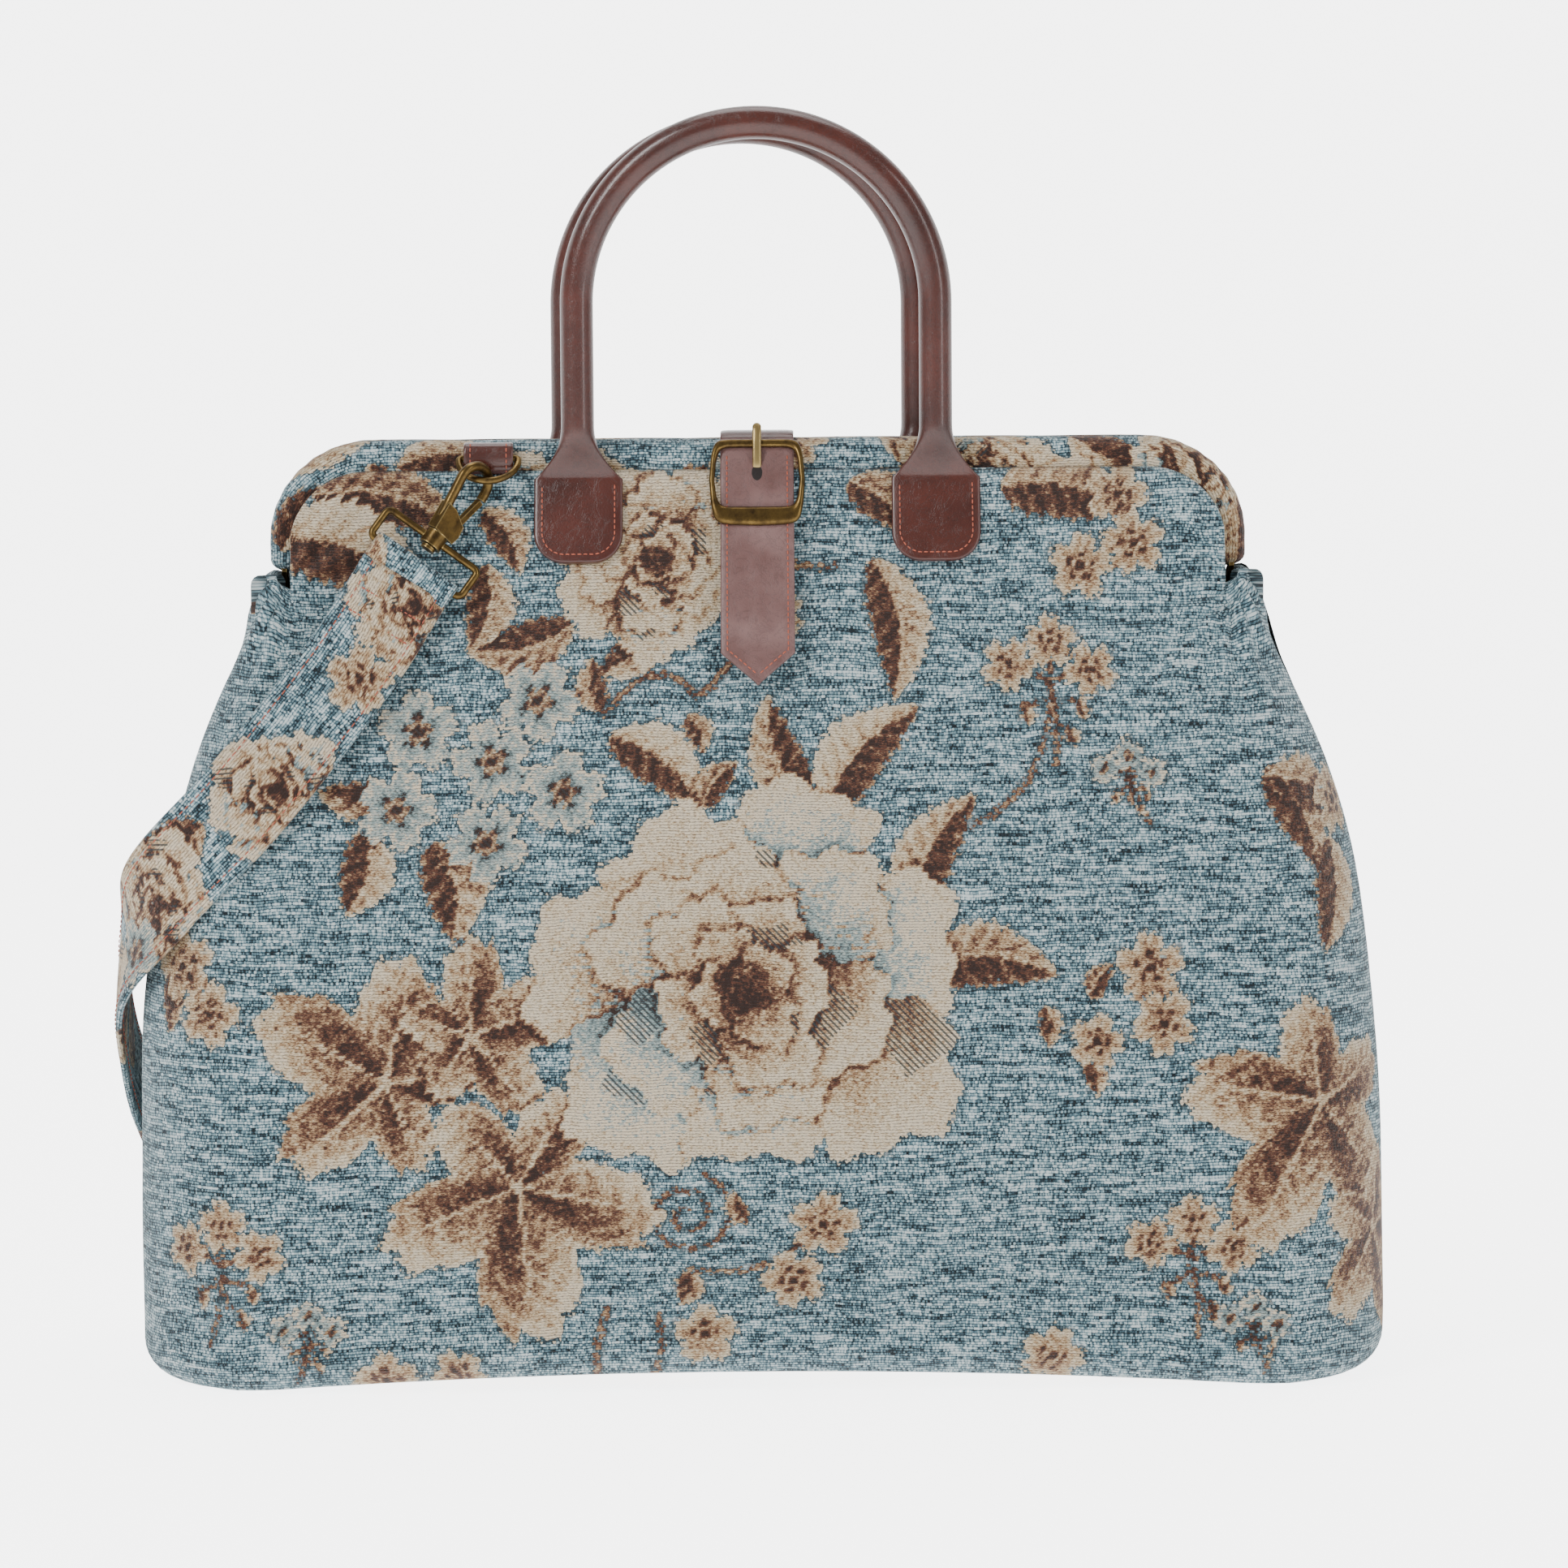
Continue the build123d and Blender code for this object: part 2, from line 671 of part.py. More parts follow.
shank_plane = Plane(origin=hook_plane.from_local_coords((eye_centre[0], 0, 0)), z_dir=hook_plane.y_dir)
head_top = collar_half + leather_gap
with BuildPart() as hook:
    with BuildSketch(hook_plane.offset(-base_thickness / 2)):
        with BuildLine():
            Polyline(
                (-4.6, head_top),
                (7.4, head_top),
                (8.4, 7),
                (7.2, 11.5),
                (-1, 14.5),
                (-6, 14.5),
                close=True,
            )
        make_face()
    extrude(amount=base_thickness)
    with BuildLine(hook_plane) as hook_path:
        spine = Line(spine_foot, spine_end)
        over = JernArc(spine @ 1, spine % 1, eye_radius, -(180 + spine_lean - claw_lean))
        claw = Line(over @ 1, over @ 1 + claw_length * (over % 1))
    with BuildSketch(Plane(origin=hook_path.line @ 0, z_dir=hook_path.line % 0)):
        Circle(hook_wire)
    sweep(path=hook_path.line)
    with BuildSketch(shank_plane.offset(-head_top)):
        Circle(shank_radius)
    extrude(amount=2 * head_top)
    with BuildSketch(shank_plane.offset(-head_top - shank_head_thickness)):
        Circle(shank_head)
    extrude(amount=shank_head_thickness)
    slot_half = gate_thickness / 2 + gate_gap
    with BuildSketch(hook_plane.offset(-slot_half)):
        with Locations((gate_pin[0] + 1, gate_pin[1] + 3)):
            Rectangle(2 * gate_root + 3, 2 * gate_root + 7)
    extrude(amount=2 * slot_half, mode=Mode.SUBTRACT)
    with BuildSketch(hook_plane.offset(-base_thickness / 2)):
        with Locations(gate_pin):
            Circle(gate_pin_radius)
    extrude(amount=base_thickness)

claw_end = hook_plane.to_local_coords(hook_path.line @ 1)
gate_run = (claw_end.X - gate_pin[0], claw_end.Y - gate_pin[1])
gate_length = hypot(*gate_run) - gate_gap - 0.4
gate_heading = degrees(atan2(gate_run[1], gate_run[0]))
gate_plane = placed(hook_plane, (gate_pin[0], gate_pin[1], 0), (0, 0, gate_heading))
with BuildPart() as gate:
    with BuildSketch(gate_plane.offset(-gate_thickness / 2)):
        Circle(gate_root)
        with Locations((gate_length / 2, 0)):
            Rectangle(gate_length, gate_bar)
        Circle(gate_pin_radius + shank_gap, mode=Mode.SUBTRACT)
    extrude(amount=gate_thickness)

for name, piece in (
    ("ring_tab", ring_tab.part),
    ("ring", ring.part),
    ("swivel_loop", swivel_loop.part),
    ("hook", hook.part),
    ("hook_gate", gate.part),
):
    save(piece, f"{name}_front")
    save(turned(piece), f"{name}_back")

# ------------------------------------------------------------- shoulder strap
def outward(point):
    """Level direction away from the body at a point beside it."""
    x, y, z = point
    wide = body_half_width(z)
    deep = body_half_depth(z)
    across = abs(x / wide) ** plan_squareness / wide
    along = abs(y / deep) ** plan_squareness / deep
    return Vector(across if x > 0 else -across, along if y > 0 else -along, 0).normalized()


def beside_body(x, y, z):
    """A point of the chosen route, moved out or in as the body is."""
    side_move = body_half_width(z) - body_half_width(z, route_width)
    deep = body_half_depth(z) / body_half_depth(z, route_depth)
    return Vector(x + copysign(side_move, x), y * deep, z)


def sling_section(point, heading):
    """Flat section of the strap, square to its run and lying to the body."""
    side = heading.cross(outward(point)).normalized()
    with BuildSketch(Plane(origin=point, x_dir=side, z_dir=heading), mode=Mode.PRIVATE) as section:
        Rectangle(sling_width, sling_thickness)
    return section.sketch


head_half = loop_wire + sling_clear + sling_fold
head_foot = loop_height + head_half + sling_neck


def sling_end(plane):
    """Fold of the strap around the lower bar of a swivel loop."""
    with BuildPart(mode=Mode.PRIVATE) as fold:
        bar_place = Plane(
            origin=plane.from_local_coords((-sling_width / 2, -loop_height, 0)),
            x_dir=plane.z_dir,
            z_dir=plane.x_dir,
        )
        with BuildSketch(bar_place):
            Circle(head_half)
        extrude(amount=sling_width)
        neck_foot = plane.from_local_coords((0, -head_foot, 0))
        with BuildSketch(Plane(origin=neck_foot, x_dir=plane.x_dir, z_dir=plane.y_dir)):
            Rectangle(sling_width, sling_thickness)
        extrude(amount=head_foot - loop_height)
        with BuildSketch(bar_place):
            Circle(loop_wire + sling_clear)
        extrude(amount=sling_width, mode=Mode.SUBTRACT)
    return fold.part


front_start = loop_plane.from_local_coords((0, -head_foot, 0))
back_start = Vector(-front_start.X, -front_start.Y, front_start.Z)
back_side = Vector(loop_plane.x_dir.X, loop_plane.x_dir.Y, -loop_plane.x_dir.Z)
back_heading = Vector(-loop_plane.y_dir.X, -loop_plane.y_dir.Y, loop_plane.y_dir.Z)
stations = [front_start] + [beside_body(*point) for point in sling_route] + [back_start]
with BuildPart() as shoulder_strap:
    with BuildSketch(Plane(origin=front_start, x_dir=loop_plane.x_dir, z_dir=-loop_plane.y_dir)):
        Rectangle(sling_width, sling_thickness)
    for before, here, after in zip(stations, stations[1:], stations[2:]):
        add(sling_section(here, (after - before).normalized()))
    with BuildSketch(Plane(origin=back_start, x_dir=back_side, z_dir=back_heading)):
        Rectangle(sling_width, sling_thickness)
    loft(ruled=True)
    add(sling_end(loop_plane))
    add(turned(sling_end(loop_plane)))
save(shoulder_strap.part, "shoulder_strap")
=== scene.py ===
"""Tapestry carpet bag, laid out as an add-on and run as a script.

Metres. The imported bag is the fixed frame: +Z is up, the front faces -Y, and
the origin is the middle of the base. Cloth coordinates are millimetres on the
flat cloth: across is measured from the middle line and up from the base.
"""

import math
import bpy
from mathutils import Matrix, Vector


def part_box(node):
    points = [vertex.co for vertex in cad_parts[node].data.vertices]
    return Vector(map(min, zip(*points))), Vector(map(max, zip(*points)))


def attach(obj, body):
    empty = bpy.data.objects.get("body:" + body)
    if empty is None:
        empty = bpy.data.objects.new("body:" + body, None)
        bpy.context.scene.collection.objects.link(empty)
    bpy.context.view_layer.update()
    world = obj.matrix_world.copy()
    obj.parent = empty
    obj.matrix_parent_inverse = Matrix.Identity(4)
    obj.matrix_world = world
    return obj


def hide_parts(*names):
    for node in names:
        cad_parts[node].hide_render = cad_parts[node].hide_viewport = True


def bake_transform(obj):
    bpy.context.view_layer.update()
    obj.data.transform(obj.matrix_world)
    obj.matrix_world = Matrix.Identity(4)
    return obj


bl_info = {
    "name": "Carpet Bag",
    "version": (1, 0, 0),
    "blender": (4, 5, 0),
    "location": "View3D > Sidebar > Carpet Bag",
    "description": "Makes the cloth, leather, brass and stitching of a carpet bag",
    "category": "Add Mesh",
}

import bpy
import numpy as np

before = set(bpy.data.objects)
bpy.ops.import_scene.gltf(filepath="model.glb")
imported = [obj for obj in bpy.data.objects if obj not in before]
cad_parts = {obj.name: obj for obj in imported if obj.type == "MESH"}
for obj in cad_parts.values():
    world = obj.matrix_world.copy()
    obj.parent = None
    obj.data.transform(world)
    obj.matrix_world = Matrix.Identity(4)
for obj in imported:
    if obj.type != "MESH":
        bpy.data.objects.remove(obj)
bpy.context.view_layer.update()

MM = 0.001

# Sizes of the bag's frame, in millimetres, as the construction model has them
BASE_HALF = float(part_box("front_panel")[1][0]) / MM
DEPTH_HALF = -float(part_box("front_panel")[0][1]) / MM
HINGE = float(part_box("hinge_rivet_left")[0][2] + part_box("hinge_rivet_left")[1][2]) / 2 / MM
RIM_HALF = float(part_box("front_rim_cover")[1][0]) / MM
RIM_TOP = float(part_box("front_rim_cover")[1][2]) / MM
RIM_FOOT = float(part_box("front_rim_cover")[0][2]) / MM
RIM_FACE = -float(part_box("front_rim_cover")[0][1]) / MM
MOUTH_TOP = float(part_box("front_panel")[1][2]) / MM
HINGE_DEPTH_HALF = 35
RIM_BAND = RIM_TOP - MOUTH_TOP
RIM_CORNER = 40
JAW_GAP = 0.3
BOTTOM_ROUND = 16
APRON_HALF = RIM_HALF - RIM_BAND + 6
APRON_LAP = 2.5
APRON_CORNER = 30
APRON_DEPTH = 20.1
BASE_ARCH = 7
HANDLE_SPAN = 70.5
HANDLE_RADIUS = 6.5
HANDLE_TOP = 499
HANDLE_STAND = 27
REAR_HANDLE_SHIFT = 6
LEATHER = 2.2


# ------------------------------------------------------------------ mesh tools
def smooth(share):
    """Rises from 0 to 1 with no corner: 3 s^2 - 2 s^3 of the clipped share."""
    share = np.clip(share, 0, 1)
    return share * share * (3 - 2 * share)


def unit(vectors):
    """Each vector divided by its own length."""
    return vectors / np.maximum(np.linalg.norm(vectors, axis=-1, keepdims=True), 1e-9)


def stacked(*values):
    """Coordinates of points, each stretched to the same grid, side by side in a last axis."""
    return np.stack(np.broadcast_arrays(*values), axis=-1)


def grid_faces(index, around=False):
    """Four corners of each cell of a grid of point numbers; around joins the last column to the first."""
    if around:
        index = np.concatenate([index, index[:, :1]], axis=1)
    corners = (index[:-1, :-1], index[:-1, 1:], index[1:, 1:], index[1:, :-1])
    return np.stack(corners, axis=-1).reshape(-1, 4)


def make_piece(name, points, faces, material, cloth=None, fields=None):
    """One object from points in millimetres, with a cloth map and named values at its points."""
    mesh = bpy.data.meshes.new(name)
    points = np.asarray(points, dtype=float).reshape(-1, 3)
    face_list = faces.tolist() if isinstance(faces, np.ndarray) else faces
    mesh.from_pydata((points * MM).tolist(), [], face_list)
    if cloth is not None:
        corners = np.empty(len(mesh.loops), dtype=np.int32)
        mesh.loops.foreach_get("vertex_index", corners)
        layer = mesh.uv_layers.new(name="cloth")
        flat = np.asarray(cloth, dtype=float).reshape(-1, 2)[corners]
        layer.data.foreach_set("uv", (flat / 100).ravel())
    for key, values in (fields or {}).items():
        attribute = mesh.attributes.new(key, "FLOAT", "POINT")
        attribute.data.foreach_set("value", np.asarray(values, dtype=np.float32).ravel())
    mesh.polygons.foreach_set("use_smooth", np.ones(len(mesh.polygons), dtype=bool))
    mesh.materials.append(material)
    mesh.update()
    piece = bpy.data.objects.new(name, mesh)
    bpy.context.scene.collection.objects.link(piece)
    return piece


def back_side(points):
    """The same points half a turn about Z, on the other side of the bag."""
    return points * np.array([-1, -1, 1])


def cell_normals(points):
    """Normal at each point of a grid: the cross product of its two gradients."""
    return unit(np.cross(np.gradient(points, axis=1), np.gradient(points, axis=0)))


def rounded_section(count, half_width, half_height, power):
    """Superellipse |x/a|^n + |y/b|^n = 1 as count evenly spaced points, counter-clockwise."""
    turn = np.linspace(0, 2 * np.pi, 2881)
    x = np.sign(np.cos(turn)) * np.abs(np.cos(turn)) ** (2 / power) * half_width
    y = np.sign(np.sin(turn)) * np.abs(np.sin(turn)) ** (2 / power) * half_height
    run = np.concatenate([[0], np.cumsum(np.hypot(np.diff(x), np.diff(y)))])
    even = np.linspace(0, run[-1], count, endpoint=False)
    return np.stack([np.interp(even, run, x), np.interp(even, run, y)], axis=-1)


def swept(centres, side, lift, section):
    """Section carried along a path: centre + x * side + y * lift; section has its own size at each place."""
    x = section[..., 0, None]
    y = section[..., 1, None]
    return centres[:, None, :] + x * side[:, None, :] + y * lift[:, None, :]


def tube_faces(rows, columns, capped=True):
    """Faces of a closed sweep, with one many-sided face at each end."""
    index = np.arange(rows * columns).reshape(rows, columns)
    faces = grid_faces(index, around=True).tolist()
    if capped:
        faces.append(index[0, ::-1].tolist())
        faces.append(index[-1].tolist())
    return faces


def even_path(points, step):
    """Catmull-Rom curve through the points, read at an even step along it."""
    points = np.asarray(points, dtype=float)
    ends = np.concatenate([[2 * points[0] - points[1]], points, [2 * points[-1] - points[-2]]])
    share = np.linspace(0, 1, 24, endpoint=False)[:, None, None]
    a, b, c, d = ends[:-3], ends[1:-2], ends[2:-1], ends[3:]
    curve = 0.5 * (
        2 * b
        + (c - a) * share
        + (2 * a - 5 * b + 4 * c - d) * share**2
        + (3 * b - a - 3 * c + d) * share**3
    )
    curve = np.concatenate([curve.transpose(1, 0, 2).reshape(-1, points.shape[1]), points[-1:]])
    run = np.concatenate([[0], np.cumsum(np.linalg.norm(np.diff(curve, axis=0), axis=1))])
    places = np.linspace(0, run[-1], int(run[-1] / step) + 1)
    return np.stack([np.interp(places, run, curve[:, k]) for k in range(curve.shape[1])], axis=-1), places


# --------------------------------------------------------------- woven figures
class Pattern:
    """Figures woven into flat cloth.

    cover is how far a point lies inside the nearest figure, in millimetres.
    tone runs from dark brown to cream, pale turns it to blue-grey, and twill
    marks where dark diagonal lines cross it.
    """

    def __init__(self, across, up):
        self.across = np.asarray(across, dtype=float).ravel()
        self.up = np.asarray(up, dtype=float).ravel()
        self.cover = np.full(self.across.size, -9.0)
        self.tone = np.full(self.across.size, 0.5)
        self.pale = np.zeros(self.across.size)
        self.twill = np.zeros(self.across.size)

    def near(self, centre, reach):
        """Numbers and offsets of the points within reach of a centre."""
        x = self.across - centre[0]
        y = self.up - centre[1]
        numbers = np.nonzero((np.abs(x) < reach) & (np.abs(y) < reach))[0]
        return numbers, x[numbers], y[numbers]

    def lay(self, numbers, inside, tone, pale=0.0, twill=0.0):
        """Weaves a figure over what is there, with a dark line round it on older figures."""
        old = self.cover[numbers]
        wins = (inside > 0) | ((inside > old) & (inside > -4))
        shadow = (inside > -1.8) & (inside <= 0) & (old > 0)
        self.tone[numbers[shadow]] -= 0.3
        won = numbers[wins]
        self.cover[won] = np.maximum(old[wins], inside[wins])
        for values, new in ((self.tone, tone), (self.pale, pale), (self.twill, twill)):
            values[won] = np.broadcast_to(new, inside.shape)[wins]

    def fields(self):
        """The four values under the names that the cloth material reads."""
        return {
            "cover": np.clip(self.cover, -9, 9),
            "tone": np.clip(self.tone, 0, 1),
            "pale": self.pale,
            "twill": self.twill,
        }


def leaf(pattern, base, angle, length, width, light=0.55, pale=0.0, bend=0.12):
    """Serrated leaf: half width sin(pi u^0.8)^0.8 along its midrib, with a light and a dark half."""
    turn = math.radians(angle)
    middle = (base[0] + length / 2 * math.cos(turn), base[1] + length / 2 * math.sin(turn))
    numbers, _, _ = pattern.near(middle, 0.62 * length + 4)
    x = pattern.across[numbers] - base[0]
    y = pattern.up[numbers] - base[1]
    u = (x * math.cos(turn) + y * math.sin(turn)) / length
    v = -x * math.sin(turn) + y * math.cos(turn) - bend * length * np.sin(np.pi * np.clip(u, 0, 1))
    along = np.clip(u, 0, 1)
    teeth = max(4, round(length / 6))
    notch = np.mod(teeth * along - 0.35 * np.abs(v) / width, 1)
    half = width / 2 * np.sin(np.pi * along**0.8) ** 0.8 * (0.88 + 0.2 * notch)
    beyond = np.maximum(np.maximum(-u, u - 1), 0) * length
    inside = 0.85 * (half - np.abs(v)) - 2 * beyond
    share = np.abs(v) / np.maximum(half, 0.5)
    vein = np.cos(2 * np.pi * (teeth * 0.8 * along - 1.1 * share))
    lit = smooth(0.5 + v / (0.16 * width))
    tone = 0.2 + lit * light + 0.14 * vein + 0.3 * share**2 * lit + 0.22 * (share**4) * (1 - lit)
    tone = np.where(np.abs(v) < 0.045 * width, 0.74, tone)
    pattern.lay(numbers, inside, tone, pale, 0.0)


def lobed_leaf(pattern, centre, angle, size, lobes=5, light=0.5):
    """Broad leaf: radius (0.5 + 0.5 |cos|^1.1) of the lobe angle, toothed, with a rib down each lobe."""
    numbers, x, y = pattern.near(centre, 1.2 * size)
    radius = np.hypot(x, y) + 1e-6
    turn = np.arctan2(y, x) - math.radians(angle)
    wave = np.cos(lobes * turn / 2)
    teeth = np.mod(lobes * 4.5 * turn / (2 * np.pi) + 0.4 * radius / size, 1)
    long_lobe = 0.82 + 0.2 * np.cos(turn)
    edge = size * long_lobe * (0.5 + 0.46 * np.abs(wave) ** 1.1) * (0.94 + 0.13 * teeth)
    inside = 0.6 * (edge - radius)
    share = radius / edge
    side = np.sin(lobes * turn)
    vein = np.cos(2 * np.pi * (5.5 * share - 0.9 * np.abs(side)))
    tone = 0.22 + light * share**1.3 + 0.17 * side + 0.13 * vein + 0.16 * share**6
    rib = np.abs(np.sin(np.arccos(np.clip(np.abs(wave), 0, 1)))) * radius * 2 / lobes
    tone = np.where((rib < 0.9) & (share < 0.9), 0.8, tone)
    pattern.lay(numbers, inside, tone)


def petal(pattern, centre, angle, length, width, tones, pale=0.0, twill=0.0, ruffle=0.06, phase=0.0):
    """Broad ruffled petal: an egg-shaped outline whose tone runs from its root to its lip."""
    numbers, x, y = pattern.near(centre, 1.15 * max(length, width))
    turn = math.radians(angle)
    u = (x * math.cos(turn) + y * math.sin(turn)) / length
    v = (-x * math.sin(turn) + y * math.cos(turn)) / (width * (1 + 0.25 * u))
    radius = np.hypot(u, v) + 1e-6
    polar = np.arctan2(v, u)
    edge = 1 + ruffle * np.sin(5 * polar + phase) + 0.6 * ruffle * np.sin(11 * polar + 2 * phase)
    size = min(length, width)
    inside = (edge - radius) * size
    lip = smooth((radius / edge - 0.62) / 0.3) * smooth(0.5 + u)
    fold = np.sin(7 * v + 3 * u + phase)
    tone = tones[0] + (tones[1] - tones[0]) * smooth(0.5 + 0.6 * u) + 0.06 * fold + 0.12 * lip
    hatched = twill * (np.sin(3.1 * v + 2 * phase) * (u < 0.35) > 0.25)
    pattern.lay(numbers, inside, tone, pale * (1 - 0.8 * lip), hatched)


def rose(pattern, centre, size, tilt=0.0, pale=1.0):
    """Full rose: rings of petals, each ring smaller and darker at the root, round a curled heart."""
    rings = (
        (0.62, 7, 0.40, 0.38, (0.42, 0.98), pale),
        (0.40, 6, 0.34, 0.30, (0.30, 0.95), 0.9 * pale),
        (0.23, 5, 0.26, 0.22, (0.22, 0.88), 0.2 * pale),
        (0.10, 4, 0.19, 0.14, (0.08, 0.74), 0.0),
    )
    for ring, (distance, count, length, width, tones, tint) in enumerate(rings):
        for k in range(count):
            turn = tilt + 360 * (k + 0.37 * ring) / count
            reach = size * distance * (1 + 0.2 * math.sin(2.3 * k + 1.4 * ring))
            grow = 1 + 0.26 * math.sin(3.1 * k + 2.2 * ring + 0.5)
            x = centre[0] + reach * math.cos(math.radians(turn))
            y = centre[1] + 0.92 * reach * math.sin(math.radians(turn))
            shade = tint * (0.5 + 0.5 * math.sin(1.7 * k + 2 * ring + 0.8))
            hatch = 1.0 if (k + ring) % 2 == 0 and ring < 3 else 0.0
            lean = turn + 26 * math.sin(1.9 * k + ring)
            petal(pattern, (x, y), lean, size * length * grow, size * width,
                  tones, shade, hatch, 0.09, k + 2.1 * ring)
    petal(pattern, centre, tilt + 70, size * 0.1, size * 0.07, (0.05, 0.3), 0.0, 0.0, 0.1, 1.0)


def blossom(pattern, centre, size, angle=0.0, pale=0.0, petals=5):
    """Small flower: radius 0.66 + 0.34 |cos| of the petal angle with a notch at each tip."""
    numbers, x, y = pattern.near(centre, 1.3 * size)
    radius = np.hypot(x, y) + 1e-6
    turn = np.arctan2(y, x) - math.radians(angle)
    wave = np.abs(np.cos(petals * turn / 2))
    edge = size * (0.52 + 0.5 * wave**0.9 - 0.16 * wave**9)
    inside = 0.75 * (edge - radius)
    share = radius / edge
    fold = np.cos(petals * 3 * turn)
    tone = 0.42 + 0.46 * share**1.3 + 0.08 * fold
    tone = np.where(radius < 0.24 * size, 0.66, tone)
    tone = np.where(radius < 0.13 * size, 0.08, tone)
    ring = (radius > 0.27 * size) & (radius < 0.4 * size) & (np.cos(petals * turn) > 0.2)
    tone = np.where(ring, 0.1, tone)
    pattern.lay(numbers, inside, tone, pale * (share > 0.35), 0.55 * pale * (share < 0.6))


def stem(pattern, start, middle, end, width=1.7, tone=0.28):
    """Curved stalk: distance to a quadratic curve through three handles, less half its width."""
    share = np.linspace(0, 1, 26)[:, None]
    start, middle, end = (np.array(point, dtype=float) for point in (start, middle, end))
    line = (1 - share) ** 2 * start + 2 * share * (1 - share) * middle + share**2 * end
    centre = line.mean(axis=0)
    reach = np.abs(line - centre).max() + 6
    numbers, x, y = pattern.near(centre, reach)
    here = np.stack([x, y], axis=-1) + centre
    a, run = line[:-1], np.diff(line, axis=0)
    gap = here[:, None, :] - a[None]
    along = np.clip((gap * run).sum(-1) / (run * run).sum(-1), 0, 1)
    distance = np.linalg.norm(gap - along[..., None] * run, axis=-1).min(axis=1)
    pattern.lay(numbers, width / 2 - distance, tone + 0.3 * (distance < 0.25 * width))


def curl(pattern, centre, size, turns=2.2, width=1.5):
    """Spiral tendril: radius grows evenly with the angle."""
    numbers, x, y = pattern.near(centre, size + 5)
    radius = np.hypot(x, y)
    turn = np.mod(np.arctan2(y, x) / (2 * np.pi), 1)
    pitch = size / turns
    lap = np.round(radius / pitch - turn)
    gap = np.abs(radius - pitch * (lap + turn))
    inside = np.where((lap >= 0) & (lap + turn < turns), width / 2 - gap, -5)
    pattern.lay(numbers, inside, 0.3)


def sprig(pattern, foot, size, lean=0.0, pale=0.0):
    """Three small blossoms on a forked stalk, with buds and narrow leaves."""
    x, y = foot
    top = (x + lean, y + 2.1 * size)
    stem(pattern, foot, (x + 0.6 * lean + 0.2 * size, y + size), top)
    for side, lift in ((-1.15, 0.6), (0.05, 1.25), (1.15, 0.45)):
        head = (top[0] + side * size, top[1] + lift * size)
        stem(pattern, top, (top[0], top[1] + 0.3 * size), head)
        blossom(pattern, head, 0.82 * size, 90 + 25 * side, pale)
    for side, lift in ((-0.75, -0.5), (0.8, -0.35), (0.5, -1.1)):
        bud = (top[0] + side * size, top[1] + lift * size)
        stem(pattern, top, (top[0], bud[1]), bud, 1.3)
        leaf(pattern, bud, -75, 0.62 * size, 0.4 * size, 0.35)


